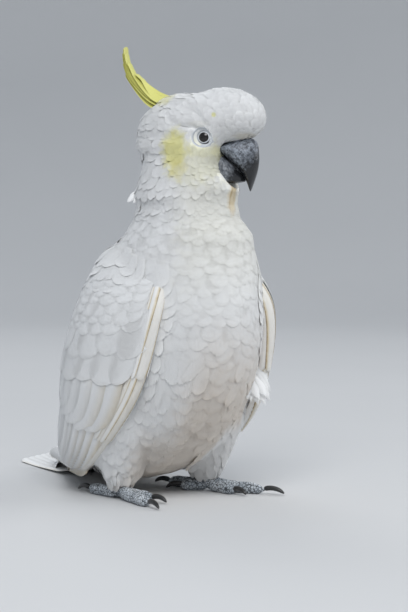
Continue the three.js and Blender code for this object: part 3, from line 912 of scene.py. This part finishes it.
# Long soft feathers of the flanks, their fringes standing off over the thighs.
flank = in_front & (lower_spots[:, 2] > 80 * MM) & (lower_spots[:, 2] < 122 * MM)
flank &= np.abs(lower_spots[:, 0] - standing_at[0]) > 17 * MM
shape = dict(rows=9, columns=21, fringe=0.05, blunt=0.12, narrow=0.5)
laid("feathers_flanks", lower_spots[flank], 27 * MM, 12 * MM, 2.2 * MM, lower_marks[flank], 14, shape,
     bend=1.3, low=0.4, cup=0.3, tilt=0.06, stray=0.16, ground=torso)

# Soft feathers in columns between the front edges of the folded wings (0) and the flanks (1) and on over the
# breast (above 1), lying down along the wing.
BRIDGE = {1: (0.1, 0.45, 0.8, 1.15, 1.5, 1.85), -1: (0.5, 0.8, 1.15, 1.5)}
dice = np.random.default_rng(17)
starts, lies, marks = [], [], []
for side, shares in BRIDGE.items():
    over_breast = np.array((-0.545 * side, -0.839, 0))
    for column, share in enumerate(shares):
        for along in np.arange(0.06 + 0.018 * (column % 2), 0.66, 0.036):
            edge = on_wing(side, along, 0.03)
            flank_at = np.array(trunk_form.find_nearest(edge)[0])
            root = edge + (flank_at - edge) * min(share, 1) + over_breast * max(share - 1, 0) * 20 * MM
            starts.append(root + dice.normal(0, 1.2, 3) * MM)
            way = on_wing(side, along + 0.05, 0.0) - edge
            lies.append(unit(way) + unit(edge - flank_at) * (0.35 if side > 0 else 0.1))
            marks.append((0.25 + 0.5 * (side > 0) + 0.04 * share, 0.9 - along))
starts, lies, marks = np.array(starts), np.array(lies), np.array(marks)
starts, outs = nearest(starts, cloak)
sizes = np.interp(marks[:, 1], (0.25, 0.85), (24, 17)) * MM
shape = dict(rows=8, columns=15, fringe=0.045, blunt=0.15, narrow=0.5)
laid("feathers_sides", starts, sizes, sizes * 0.5, 2.3 * MM, marks, 18, shape, bend=1.3, low=0.5, cup=0.3,
     stray=0.12, ground=cloak, lie=lies, outs=outs)


def scattered(count, spacing, centre, keep, seed):
    """Roots all round the head, as close together as spacing says at each point."""
    dice = np.random.default_rng(seed)
    index = np.arange(count) + 0.5
    tall = 1 - 2 * index / count
    turn = index * math.pi * (1 + 5**0.5)
    flat = np.sqrt(1 - tall**2)
    directions = np.stack([flat * np.cos(turn), flat * np.sin(turn), tall], -1)
    marks = np.stack([turn / (2 * math.pi) % 1, index / count], -1)
    spots, good = rooted([centre] * count, directions)
    good[good] = keep(spots[good])
    spots, marks = spots[good], marks[good]
    order = dice.permutation(len(spots))
    spots, marks = spots[order], marks[order]
    kept, taken = [], np.empty_like(spots)
    for i, (spot, gap) in enumerate(zip(spots, spacing(spots))):
        if kept and ((taken[: len(kept)] - spot) ** 2).sum(1).min() < gap * gap:
            continue
        taken[len(kept)] = spot
        kept.append(i)
    return spots[kept], marks[kept]


def from_eye_axis(points):
    """How far each point is from the line through both eyes."""
    return np.hypot((points - eyes_middle) @ forward, (points - eyes_middle) @ up)


def head_spacing(points):
    """Feathers are smallest round the root of the bill and the eyes."""
    from_bill = np.linalg.norm(points - in_head(20, 0, -10), axis=-1)
    by_bill = np.interp(from_bill, (0.012, 0.045, 0.075), (2.0, 4.2, 6.0))
    by_eye = np.interp(from_eye_axis(points), (0.008, 0.022, 0.05), (1.9, 4.2, 6.0))
    return np.minimum(by_bill, by_eye) * MM


def on_head(points):
    """Whether points are in the head's feathers: over the ruff in front, less far down at the nape, with an
    uneven edge, and clear of the bare ring round each eye."""
    a, left, _ = head_places(points)
    lowest = 238 - 10 * eased(a, -25, 5) + 5 * np.sin(a * 0.9 + left * 1.7) + 4 * np.sin(left * 0.7 - a * 0.35)
    return (points[:, 2] > lowest * MM) & (from_eye_axis(points) > 8.4 * MM)


spots, marks = scattered(30000, head_spacing, in_head(-8, 0, 0), on_head, 21)
small = head_spacing(spots)
lifts = small * np.interp(spots[:, 2], (0.225, 0.25), (0.17, 0.31))
shape = dict(rows=6, columns=7, fringe=0.02, blunt=0.2, narrow=0.5)
laid("feathers_head", spots, small * 2.7, small * 1.8, lifts, marks, 22, shape, bend=1.1, low=0.45, cup=0.15,
     thickness=0.06, stray=0.1)

# ---- Thighs: the feathered trousers of both legs, from the belly to just above the feet.
# They are longer, softer vanes that hang straight down in rows round each leg, and the lowest hang free of it.


def leg_rows(side, seed):
    """Roots in staggered rows round a leg, clear of the wings and of the gap between the legs."""
    dice = np.random.default_rng(seed)
    origins, directions, marks = [], [], []
    heights = np.arange(88, 14, -5.0)
    for row, height in enumerate(heights):
        radius = np.interp(height, (14, 40, 64, 90), (11, 24, 31, 27))
        count = int(2 * math.pi * radius / 8.5)
        place = np.array((side * 40, 2.0, height)) * MM + standing_at
        for step in range(count):
            angle = (step + 0.5 * (row % 2) + dice.normal(0, 0.12)) / count * 2 * math.pi
            origins.append(place + (0, 0, dice.normal(0, 0.8) * MM))
            directions.append((math.cos(angle), math.sin(angle), 0))
            marks.append((angle / (2 * math.pi) % 1, 0.02 + 0.9 * row / len(heights)))
    spots, good = rooted(origins, directions)
    good[good] = apart_from_wings(spots[good]) > 4 * MM
    good &= np.abs(spots[:, 0] - standing_at[0]) > 12 * MM
    return spots[good], np.array(marks)[good]


for side, word in SIDES:
    spots, marks = leg_rows(side, 31)
    sizes = np.interp(spots[:, 2], (0.014, 0.03, 0.04, 0.09), (9, 20, 22, 28)) * MM
    puffed = np.interp(spots[:, 2], (0.014, 0.04, 0.09), (3.5, 3.0, 1.6)) * MM
    free = np.interp(spots[:, 2], (0.03, 0.05), (0.85, 0.0)) * (spots[:, 1] < standing_at[1] + 10 * MM)
    straight_down = np.zeros_like(spots) + (0, 0.1, -1)
    shape = dict(rows=8, columns=17, fringe=0.05, blunt=0.15, narrow=0.5)
    laid("feathers_thigh_" + word, spots, sizes, sizes * 0.5, puffed, marks, 32, shape, bend=1.1, low=0.25,
         cup=0.25, tilt=0.06, thickness=0.12, stray=0.12, lie=straight_down, hang=free)

# ---- Wings: small coverts from the shoulder down, greater coverts, the narrow feathers of the leading edge and
# the long flight feathers, which close over one another like a fan. All are single vanes laid on the folded
# wing's surface, stiffer and smoother than the body's, and those at the front are edged with cream.


def folded_feathers(name, flat, folded, roots, tips, widths, root_uv, seed, shape, level, lift, lean, camber,
                    thickness, cream=0.0, base=0.0):
    """Feathers on a folded surface, from places (along, across) to places (along, across), widths in metres.
    flat gives points of the surface by its two measures, folded the points and the directions out of it. The
    rest is in millimetres, apart from cream, at one edge of each vane, and base, the cream all over it."""
    dice = np.random.default_rng(seed)
    roots, tips = np.asarray(roots, float), np.asarray(tips, float)
    count = len(roots)
    wide, reach, along, across = vanes(count, 12, dice, **shape)
    place = roots[:, None, None] + (tips - roots)[:, None, None] * reach[..., None]
    middle = roots[:, None] + (tips - roots)[:, None] * reach[:, :, shape["columns"] // 2][..., None]
    step = 0.02
    span = flat(middle[..., 0], middle[..., 1] + step) - flat(middle[..., 0], middle[..., 1] - step)
    span = np.linalg.norm(span, axis=-1, keepdims=True) / (2 * step)
    place[..., 1] += wide * for_each(widths, count) / 2 / span
    spots, outs = folded(place[..., 0], place[..., 1])
    height = for_each(level, count) + lift * along - lean * across - camber * across**2
    height = height + dice.normal(0, 0.04, count)[:, None, None]
    grids = spots + outs * height[..., None] * MM
    stain = np.maximum(for_each(cream, count) * eased(-across, 0.35, 0.95), for_each(base, count))
    tone = dice.uniform(0, 1, count)
    return coat_piece(name, grids, outs, thickness, np.clip(root_uv, 0.01, 0.99), tone, cream=stain)


def covert_rows(side, dice):
    """Roots, tips and widths of the coverts: seven rows of small ones and two of larger ones, each row bowed,
    with one narrow feather at its front end. A row has its start, reach, feather width and gap."""
    roots, tips, widths = [], [], []
    rows = [(0.02 + 0.024 * row, 0.085, 21, 11) for row in range(7)]
    rows += [(0.19, 0.12, 26, 15), (0.235, 0.14, 30, 17)]
    for row, (start, reach, width, gap) in enumerate(rows):
        span = np.linalg.norm(on_wing(side, start, 0.95) - on_wing(side, start, 0.05)) * 1.25 / MM
        count = int(span / gap)
        for step in range(-1, count + 2):
            across = (step + 0.5 * (row % 2) + dice.normal(0, 0.08)) / count
            if not 0.05 < across < 0.95:
                continue
            bow = -0.04 * (2 * across - 1) ** 2
            roots.append((start + bow + dice.normal(0, 0.003), across))
            tips.append((start + bow + reach + dice.normal(0, 0.004), across))
            widths.append(width)
        roots.append((start - 0.03, 0.07))
        tips.append((start - 0.03 + reach, 0.07))
        widths.append(width * 0.7)
    return np.array(roots), np.array(tips), np.array(widths)


def across_wing(starts, ends, across, shift=0.0):
    """Roots and tips of feathers that lie along the wing, side by side across it."""
    return np.stack([starts, across], -1), np.stack([ends, across + shift], -1)


# Feathers of the leading edge, by where they start, end and lie across it, their width and how high they lie.
BASTARD_WING = [(0.085, 0.32, across, 4.4, 3.4) for across in (-0.034, -0.016, 0.003, 0.022)]
PRIMARY_COVERTS = [(0.25, 0.54, across, 5.0, 2.8) for across in (-0.03, -0.012, 0.006, 0.026, 0.05)]
PRIMARY_TIPS = ((-0.025, 0.9), (-0.003, 0.95), (0.02, 0.99), (0.05, 1.0))
OUTER_PRIMARIES = [(0.44, end, across, 5.5, 2.0) for across, end in PRIMARY_TIPS]
EDGE_FEATHERS = np.array(BASTARD_WING + PRIMARY_COVERTS + OUTER_PRIMARIES)

for side, word in SIDES:

    def wing_feathers(name, roots, tips, widths, seed, shape, **settings):
        """Feathers laid on this folded wing."""

        def flat(along, across):
            return on_wing(side, along, across)

        def folded(along, across):
            return on_folded_wing(side, along, across)

        root_uv = np.stack([0.02 + 0.45 * roots[:, 1] + (0.5 if side > 0 else 0), 0.05 + 0.9 * roots[:, 0]], -1)
        name = f"{name}_{word}"
        folded_feathers(name, flat, folded, roots, tips, widths * MM, root_uv, seed, shape, **settings)

    roots, tips, widths = covert_rows(side, np.random.default_rng(41))
    levels = np.interp(roots[:, 0], (0, 0.3), (4.1, 3.2))
    shape = dict(rows=9, columns=11, fringe=0.008, blunt=0.16, narrow=0.6)
    wing_feathers("wing_coverts", roots, tips, widths, 42, shape, level=levels, lift=0.45, lean=0.05,
                  camber=0.12, thickness=0.15)

    across = np.linspace(0.1, 0.88, 11)
    roots, tips = across_wing(np.full(11, 0.3), 0.5 + 0.03 * np.sin(across * 9), across, 0.02)
    cream = np.interp(across, (0.1, 0.3), (0.7, 0.0))
    shape = dict(rows=14, columns=11, fringe=0.02, blunt=0.16, narrow=0.6)
    wing_feathers("greater_coverts", roots, tips, 28, 43, shape, level=2.9, lift=0.4, lean=0.35, camber=0.3,
                  thickness=0.2, cream=cream)

    starts, ends, across, widths, levels = EDGE_FEATHERS.T
    roots, tips = across_wing(starts, ends, across, 0.01)
    levels = levels + 0.25 * (across < 0.02) - 6 * across
    cream = np.interp(across, (-0.02, 0.03, 0.07), (1.35, 1.1, 0.4))
    base = np.interp(starts, (0.1, 0.25, 0.44), (0.10, 0.22, 0.35)) + 0.2 * (np.arange(len(starts)) % 2)
    shape = dict(rows=20, columns=9, fringe=0.002, blunt=0.05, narrow=0.8)
    wing_feathers("edge_feathers", roots, tips, widths, 45, shape, level=levels, lift=0.3, lean=0.35,
                  camber=0.4, thickness=0.5, cream=cream, base=base)

    across = np.linspace(0.07, 0.95, 16)
    starts = np.interp(across, (0.0, 0.3, 0.5, 1.0), (0.5, 0.45, 0.3, 0.27))
    roots, tips = across_wing(starts, 1.01 - 0.3 * across**1.6, across)
    widths = np.interp(across, (0, 1), (17, 27))
    cream = np.interp(across, (0, 0.15, 0.4), (1.0, 0.5, 0.0))
    shape = dict(rows=30, columns=11, fringe=0.002, blunt=0.06, narrow=0.7)
    wing_feathers("flight_feathers", roots, tips, widths, 44, shape, level=1.9, lift=0.4, lean=0.45, camber=0.4,
                  thickness=0.4, cream=cream)
    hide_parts("wing_" + word)

# ---- Mantle and rump: broad feathers down the middle of the back to the root of the tail.
# At the top they lie over the inner edges of both folded wings, and further down under them, where the wings
# close over the rump.


def back_place(run, aside):
    """A place on the back by its share of the way down and its millimetres to the left. It bridges the gap
    between the wings' back edges and follows each wing beyond them, and sinks to the tail at the end."""
    gap = through(BACK_EDGE, run)[..., 0] / MM
    span = np.linalg.norm(on_wing(1, run, 1.0) - on_wing(1, run, 0.98), axis=-1) / 0.02 / MM
    across = 1 - np.maximum(np.abs(aside) - gap, 0) / span
    place = np.where(aside[..., None] > 0, on_wing(1, run, across), on_wing(-1, run, across))
    place[..., 0] -= np.sign(aside) * np.maximum(gap - np.abs(aside), 0) * MM
    place[..., 2] -= 15.5 * MM * eased(run, 0.8, 1.05)
    return place


def over_back(run, aside, raised):
    """Points over the back, raised from it by so many millimetres, and the directions out of it."""
    run, aside = np.broadcast_arrays(np.asarray(run, float), np.asarray(aside, float))
    here = back_place(run, aside)
    over = back_place(run, aside + 4) - back_place(run, aside - 4)
    out = unit(np.cross(over, back_place(run + 0.02, aside) - here))
    out = out * np.sign((out * (0, 0.8, 0.6)).sum(-1, keepdims=True))
    on_the_wing = eased(np.abs(aside) - through(BACK_EDGE, run)[..., 0] / MM, 3, 14)
    height = np.interp(run, *raised) - 1.2 * on_the_wing * (1 - eased(run, 0.5, 0.7))
    return here + out * height[..., None] * MM, out


# For each piece: how high it stands, its rows, how wide they reach and how long their feathers are, by run.
for name, raised, runs, reach, lengths, seed in (
    ("feathers_mantle", ((0, 0.05, 0.13, 0.3, 0.5, 0.65), (-5, -1.5, 4.4, 4.8, 4.1, 3.5)),
     np.arange(0.02, 0.57, 0.027), ((0, 0.12, 0.3, 0.57), (18, 29, 22, 13)), ((0, 0.57), (0.085, 0.11)), 15),
    ("feathers_rump", ((0.5, 0.9), (1.0, 0.8)),
     np.arange(0.56, 0.93, 0.034), ((0.56, 0.64, 0.9), (17, 31, 33)), ((0, 1), (0.12, 0.12)), 19),
):
    dice = np.random.default_rng(seed)
    roots, tips = [], []
    for row, run in enumerate(runs):
        widest = np.interp(run, *reach)
        for aside in np.arange(-widest, widest + 1, 8.5) + 4.2 * (row % 2):
            aside = aside + dice.normal(0, 0.6)
            bow = -0.012 * (aside / 20) ** 2
            roots.append((run + bow, aside))
            tips.append((run + bow + np.interp(run, *lengths) + dice.normal(0, 0.005), aside * 1.04))
    roots = np.array(roots)
    root_uv = np.stack([0.5 + roots[:, 1] / 90, 0.93 - 0.85 * roots[:, 0]], -1)
    shape = dict(rows=9, columns=11, fringe=0.012, blunt=0.18, narrow=0.6)
    folded_feathers(name, back_place, lambda run, aside: over_back(run, aside, raised), roots, tips, 19 * MM,
                    root_uv, seed + 1, shape, level=0.0, lift=0.7, lean=0.05, camber=0.2, thickness=0.15)

# ---- Tail: twelve long broad feathers, closed almost to one width and laid back on the floor behind the feet.
# Each is one stiff thin vane with cream along its edges. They are laid from the outermost pair in, so that the
# middle pair lies on top.
TAIL_FEATHERS, TAIL_ROWS, TAIL_COLUMNS = 12, 26, 11
TAIL_LENGTH, TAIL_WIDTH = 190, 25


def over_floor(ahead, aside, high):
    """Places (millimetres) down the tail from its root, to its side and above the floor."""
    ahead, aside, high = (np.asarray(value, float) for value in (ahead, aside, high))
    x = 2 + ahead * math.sin(TAIL_SWING) + aside * math.cos(TAIL_SWING)
    y = TAIL_ROOT + ahead * math.cos(TAIL_SWING) - aside * math.sin(TAIL_SWING)
    return np.stack(np.broadcast_arrays(x, y, high), -1) * MM + standing_at


def plumes(name, centres, sides, outs, widths, seed, camber, thickness, fold=0.0, tones=(0, 1), uv_height=0.5,
           material=feathered, cream=None, **shape):
    """Long feathers along their own midlines, as one piece. Midlines are feathers x points x 3, widths and
    depths in millimetres."""
    dice = np.random.default_rng(seed)
    count, rows, _ = centres.shape
    wide, reach, along, across = vane(rows, dice=dice, **shape)
    stations = np.clip(reach, 0, 1.0) * (rows - 1)
    low = np.clip(np.floor(stations).astype(int), 0, rows - 2)
    share = (stations - low)[None, ..., None]
    middle, aside, out = (
        values[:, low] * (1 - share) + values[:, low + 1] * share
        for values in (centres, np.broadcast_to(sides, centres.shape), outs)
    )
    grids = middle + aside * (wide[None] * np.reshape(widths * MM, (-1, 1, 1)) / 2)[..., None]
    swell = np.sin(np.pi * np.minimum(along + 0.15, 1) ** 0.7)
    drop = camber * across**2 + np.reshape(fold, (-1, 1, 1)) * np.abs(across) * swell
    uv = np.stack([np.linspace(0.1, 0.9, count), np.full(count, uv_height)], -1)
    grids = grids - out * (drop * MM)[..., None]
    return coat_piece(name, grids, out, thickness, uv, dice.uniform(*tones, count), material, cream)


ranks = np.arange(TAIL_FEATHERS) - (TAIL_FEATHERS - 1) / 2
ranks = ranks[np.argsort(-np.abs(ranks))]
inner = (6 - np.abs(ranks))[:, None]
share = np.linspace(0, 1, TAIL_ROWS)
heights = np.interp(share, (0, 0.22, 0.48, 0.75, 1), (24, 12, 3.2, 1.6, 1.6))
centres = over_floor(
    (TAIL_LENGTH + 3.0 * inner) * share,
    ranks[:, None] * (2.5 + 3.9 * share),
    heights + 0.55 * inner * (0.5 + 0.5 * share),
)
sideways = np.array((math.cos(TAIL_SWING), -math.sin(TAIL_SWING), 0))
outs = unit(np.cross(sideways, unit(np.gradient(centres, axis=1))))
outs = outs * np.sign(outs[..., 2:3])
edges = 0.4 * eased(np.abs(np.linspace(-1, 1, TAIL_COLUMNS)), 0.6, 1.0)
edges = np.broadcast_to(edges, (TAIL_FEATHERS, TAIL_ROWS, TAIL_COLUMNS))
tail = plumes("tail_feathers", centres, sideways, outs, np.full(TAIL_FEATHERS, TAIL_WIDTH), 51, camber=1.0,
              thickness=0.5, cream=edges, columns=TAIL_COLUMNS, blunt=0.085, fringe=0.002, narrow=0.75)
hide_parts("tail")

# ---- Crest: eight long narrow sulphur-yellow feathers, rooted in a row on the crown and curled back.
# They lie on one another in a sheaf along the crest's line and part towards their tips. Each vane is folded
# along its shaft, the front ones most.
CREST_LINE = (
    (-14, 21), (-30, 25.5), (-44.3, 30.5), (-51.7, 35), (-59.2, 41.6),
    (-65.9, 48.5), (-69.6, 55.6), (-71.6, 62.8), (-72, 71.6),
)
# How far above the line each feather lies, where it starts and ends, how far it leans and how it is folded.
CREST_FEATHERS = (
    (4.6, 0.02, 0.62, 1.0, 8.0), (3.2, 0.0, 0.8, -1.0, 6.0), (1.8, 0, 0.93, 0.6, 4.5), (0.6, 0, 1, 0, 3.5),
    (-0.6, 0.02, 0.99, 0.8, 3.0), (-2.0, 0.04, 0.94, -0.8, 2.5), (-3.4, 0.06, 0.82, 0.8, 2.5),
    (-4.8, 0.08, 0.68, -0.8, 2.5),
)
share = np.linspace(0, 1, 24)
line = [(a, 0, h) for a, h in CREST_LINE]
centres, outs = [], []
for offset, start, end, lean, _ in CREST_FEATHERS:
    along = start + (end - start) * share
    here = through(line, along)
    ahead = unit(through(line, along + 0.005) - through(line, along - 0.005))
    out = np.stack([-ahead[:, 2], 0 * along, ahead[:, 0]], -1) * -1
    here = here + out * (offset * np.minimum(1.12, 1.5 - 1.15 * along) * MM)[:, None]
    here[:, 1] += lean * (1 - along) * MM
    centres.append(eyes_middle + here[:, :1] * forward + here[:, 1:2] * leftward + here[:, 2:] * up)
    outs.append(out[:, :1] * forward + out[:, 2:] * up)
centres, outs = np.array(centres), np.array(outs)
outs = outs * np.sign(outs[..., 2:3] + 1e-9)
sulphur, place, feed = finish_of("sulphur_crest", roughness=0.55)
feed("Base Color", place.noise(60).mixed((0.60, 0.59, 0.15), (0.66, 0.65, 0.235)))
crest = plumes("crest_feathers", centres, leftward, outs, np.full(len(centres), 11.5), 61, camber=0.5,
               thickness=0.5, fold=[feather[-1] for feather in CREST_FEATHERS], material=sulphur,
               columns=9, blunt=0.02, fringe=0.003, narrow=0.8)
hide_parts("crest")

# ---- Loose feathers: a ragged tuft that stands out over the left wing from the flank, and a few at the nape.
# They are thin downy vanes with deep fringes that have slipped out of the coat, each given by its root, its tip
# and its width in millimetres.
LOOSE = (
    ((39, -57, 100), (40, -60, 76), 8), ((40, -56, 101), (46, -62, 73), 8), ((42, -56, 102), (52, -63, 73), 9),
    ((44, -55, 104), (57, -62, 76), 9), ((45, -54, 107), (60, -59, 83), 8), ((37, -58, 101), (35, -62, 78), 8),
    ((46, -53, 110), (60, -56, 92), 7), ((38, -60, 97), (44, -66, 78), 7), ((42, -59, 98), (51, -66, 80), 8),
    ((-30, -13, 244), (-42, -9, 232), 5.5), ((-30, -17, 243), (-40, -14, 231.5), 5),
    ((-28, -8, 243), (-38.5, -3, 233), 5), ((-31, -20, 240), (-38, -18, 229), 5),
)
LOOSE_FACING = unit(np.array((-0.45, -0.85, 0.25)))
share = np.linspace(0, 1, 12)[:, None]
centres, sides, outs = [], [], []
for root, tip, _ in LOOSE:
    root, tip = (np.array(end) * MM + standing_at for end in (root, tip))
    way, along = tip - root, unit(tip - root)
    bow, sunk = LOOSE_FACING * 3 * MM * (share - share**3), LOOSE_FACING * 1.5 * MM * (1 - share)
    centres.append(root + way * share + bow - sunk)
    sides.append(np.broadcast_to(unit(np.cross(LOOSE_FACING, way)), bow.shape))
    outs.append(np.broadcast_to(unit(LOOSE_FACING - along * (LOOSE_FACING @ along)), bow.shape))
centres, sides, outs = np.array(centres), np.array(sides), np.array(outs)
widths = np.array([wide for _, _, wide in LOOSE])
plumes("feathers_loose", centres, sides, outs, widths, 71, camber=1.6, thickness=0.12, tones=(1.8, 2),
       uv_height=0.4, columns=17, blunt=0.3, fringe=0.07, narrow=0.45)

# ---- Eyes: a dark moist ball on each side of the head, in a ring of bare grey-blue skin.
# The lids are a soft ring of their own, folded in three fine lines round the ball and darkened along them
# with painted shade. Its outer edge follows the skin under the feathers and runs in beneath them.
EYEBALL = 6.3
OUTSIDE_HEAD = 60.0
RING_POINTS = 56
RING_TALL = 0.94
# Round the lid's section: radius, how far it stands out, and how much it follows the skin rather than the ball.
LID_SECTION = (
    (8.9, -0.7, 1), (8.2, 0.2, 1), (7.6, 0.5, 0.95), (7.0, 0.3, 0.85), (6.4, 0.45, 0.65),
    (5.9, 0.3, 0.45), (5.3, 0.45, 0.25), (4.7, 0.3, 0.1), (4.2, 0.3, 0), (3.9, 0.1, 0),
    (3.85, -0.5, 0), (4.6, -1.6, 0), (8.6, -2.6, 1),
)
# Where painted shade darkens the lids' folds: the radius and the width of each line, in millimetres.
SHADED_LID_FOLDS = ((5.3, 0.5), (6.5, 0.3), (7.6, 0.6))

dark, place, feed = finish_of("dark_eye", roughness=0.06, specular=0.5)
feed("Base Color", place.noise(400).mixed((0.006, 0.006, 0.007), (0.012, 0.01, 0.009)))
bare, place, feed = finish_of("bare_eyelid", roughness=0.5)
ahead, high = (place.along(way, eyes_middle) for way in (forward, up))
apart = (ahead * ahead + high * high * 1.13) ** 0.5 * 1000 + place.noise(900) * 0.4
# Painted shade: dark lines along the three folds of the lids.
folds = 0
for radius, wide in SHADED_LID_FOLDS:
    from_fold = apart - radius
    folds = folds + from_fold.maths("ABSOLUTE", from_fold).smooth(wide, 0.1)
feed("Base Color", (folds * 0.6).mixed((0.64, 0.665, 0.69), (0.32, 0.34, 0.36)))

turn = np.linspace(0, 2 * math.pi, RING_POINTS, endpoint=False)
for side, word in SIDES:
    centre = sum(np.array(corner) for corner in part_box("eye_" + word)) / 2
    out = float((centre - eyes_middle) @ leftward) / MM * side
    eye = smoothed(ball(centre, (EYEBALL,) * 3))
    eye.name = eye.data.name = "eyeball_" + word
    eye.data.materials.append(dark)
    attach(eye, "root")
    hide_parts("eye_" + word)

    rings = []
    for radius, rise, share in LID_SECTION:
        a, h = radius * np.cos(turn), radius * RING_TALL * np.sin(turn)
        outside = in_head(a, np.full(len(a), side * OUTSIDE_HEAD), h)
        hits = [hide.ray_cast(point, -side * leftward)[0] for point in outside]
        skin_out = np.array([(np.array(hit) - eyes_middle) @ leftward * side / MM for hit in hits])
        rings.append(in_head(a, side * (skin_out * share + (out + 5.1) * (1 - share) + rise), h))
    faces = tube_faces(len(rings), RING_POINTS, joined=True)
    faces = [(a, d, c, b) if side > 0 else (b, c, d, a) for a, b, c, d in faces]
    ring = object_of("eyelids_" + word, np.array(rings).reshape(-1, 3), faces)
    ring.data.materials.append(bare)
    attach(ring, "root")

# ---- Bill: two curved halves of slate-grey horn, rooted in the feathers of the forehead and the chin.
# The upper hangs over the lower in a hooked tip. Each is swept along its two edges (ahead and high, in
# millimetres) with its own section, and pale powder lies over the dark horn except at the edge and the tip.
RIDGE = ((4, -9), (14, -3.5), (24, 0.5), (34, -2.5), (36.5, -13), (35.4, -25), (30, -41))
CUTTING_EDGE = ((-4, -7.5), (7, -12.5), (15.5, -19.5), (21.5, -26), (26.5, -33), (29.6, -41))
LOWER_EDGE = ((-8, -8.3), (6, -12.4), (15, -19.6), (21, -25.7), (25.6, -31))
KEEL = ((-10, -25), (3, -32.5), (10, -34.5), (18, -35), (25.6, -33.6))
HORN_RINGS, HORN_POINTS = 60, 48
SLATE, BLACK_HORN = (0.048, 0.055, 0.068), (0.014, 0.015, 0.017)


def round_ends(along, start, end):
    """1 in the middle of a horn, rounded off to 0 over its first and last shares."""
    share = np.minimum(np.minimum(along / start, 1), (1 - along) / end)
    return np.sqrt(np.clip(1 - (1 - np.clip(share, 0, 1)) ** 2, 0, 1))


def upper_section(along, turn):
    """How far out and up the upper half reaches: narrower above, and sharpening to its hooked tip."""
    wide = 12 * round_ends(along, 0.12, 1.0) * np.cos(turn) * (1 - 0.28 * np.maximum(0, np.sin(turn)))
    return wide, np.sin(turn) + 0 * along


def lower_section(along, turn):
    """How far out and up the lower half reaches: a squarer scoop with a blunt end."""
    wide = 12.2 * round_ends(along, 0.1, 0.6) * np.sign(np.cos(turn)) * np.abs(np.cos(turn)) ** 0.8
    return wide, np.sign(np.sin(turn)) * np.abs(np.sin(turn)) ** 0.6 + 0 * along


def swept_horn(name, top_line, low_line, section):
    """Half a bill between two lines, closed at its ends, with marks of how far along and up its points are."""
    along = np.linspace(0, 1, HORN_RINGS)
    turn = np.linspace(0, 2 * math.pi, HORN_POINTS, endpoint=False)
    top, low = (through([(a, 0, h) for a, h in line], along) / MM for line in (top_line, low_line))
    wide, lift = section(along[:, None], turn[None, :])
    middle, half = (top + low) / 2, np.linalg.norm(top - low, axis=1, keepdims=True) / 2
    rise = unit(top - low)
    points = in_head(middle[:, :1] + rise[:, :1] * half * lift, wide, middle[:, 2:] + rise[:, 2:] * half * lift)
    made = object_of(name, points.reshape(-1, 3), tube_faces(HORN_RINGS, HORN_POINTS))
    point_values(made.data, "run", along[:, None] + 0 * turn)
    point_values(made.data, "rise", np.sin(turn)[None] + 0 * along[:, None])
    return edited(made, (merge[0], {"threshold": 0.00001}), (bpy.ops.mesh.fill_holes, {"sides": 0}), face_out)


def horn(name, powder, worn):
    """Bill horn: slate under pale powder, black and glossy at the cutting edge and the tip."""
    material, place, feed = finish_of(name, roughness=0.55, specular=0.5)
    fine = place.noise(420, 4)
    black = (place.attribute("run") + fine * 0.35).smooth(0.68, 0.92)
    black = black + (place.attribute("rise") * -1 + fine * 0.7).smooth(worn, worn + 0.45)
    black = black.maths("MINIMUM", black, 1.0)
    blotches = place.noise(330, 2).smooth(0.4, 0.62) * 0.55 + place.noise(720, 2).smooth(0.42, 0.6) * 0.45
    feed("Base Color", black.mixed(blotches.mixed(SLATE, powder), BLACK_HORN))
    feed("Roughness", black.mixed((0.55, 0.55, 0.55), (0.2, 0.2, 0.2)))
    feed("Normal", place.bump(place.noise(1500), 0.25, 0.0003))
    return material


for name, node, lines, section, powder, worn in (
    ("bill_top", "bill_upper", (RIDGE, CUTTING_EDGE), upper_section, (0.27, 0.30, 0.345), 0.8),
    ("bill_bottom", "bill_lower", (LOWER_EDGE, KEEL), lower_section, (0.22, 0.235, 0.26), 0.9),
):
    half = swept_horn(name, *lines, section)
    half.data.materials.append(horn(name + "_horn", powder, worn))
    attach(half, "root")
    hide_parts(node)

# ---- Feet: scaly grey feet with two toes in front and two behind, each toe with a curved black nail.
# The skin of a foot is the shank and its four toes fused into one, with scales in its finish. The nails are the
# solids' own shapes made smooth.
FOOT_GRAIN = 0.7 * MM
DIGITS = ("inner_front", "outer_front", "inner_hind", "outer_hind")

scaly, place, feed = finish_of("scaly_foot", roughness=0.6)
wander = place.node("TexNoise", {"Vector": place, "Scale": 300}, output="Color").scaled(0.0012)
warped = place.node("VectorMath", {0: place, 1: wander})
cells = place.node("TexVoronoi", {"Vector": warped, "Scale": 430}, feature="DISTANCE_TO_EDGE")
scale = cells.smooth(0.02, 0.14)
pale = place.noise(90, 2).smooth(0.35, 0.65).mixed((0.37, 0.41, 0.45), (0.61, 0.65, 0.69))
feed("Base Color", scale.mixed((0.055, 0.062, 0.07), pale))
feed("Normal", place.bump(scale, 0.6, 0.0006))
black, place, feed = finish_of("black_claw", roughness=0.3, specular=0.5)
feed("Base Color", place.noise(500).mixed((0.012, 0.012, 0.013), (0.04, 0.04, 0.04)))

for word in ("left", "right"):
    names = ["tarsus_" + word] + [f"toe_{digit}_{word}" for digit in DIGITS]
    foot = fused("foot_" + word, [copy_of(node) for node in names], FOOT_GRAIN, 5, 0)
    foot.data.materials.append(scaly)
    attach(foot, "root")
    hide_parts(*names)
    for digit in DIGITS:
        nail = edited(copy_of(f"claw_{digit}_{word}"), merge)
        nail.name = nail.data.name = f"nail_{digit}_{word}"
        smoothed(modified(nail, "SUBSURF", levels=2, render_levels=2))
        nail.data.materials.append(black)
        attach(nail, "root")
        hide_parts(f"claw_{digit}_{word}")
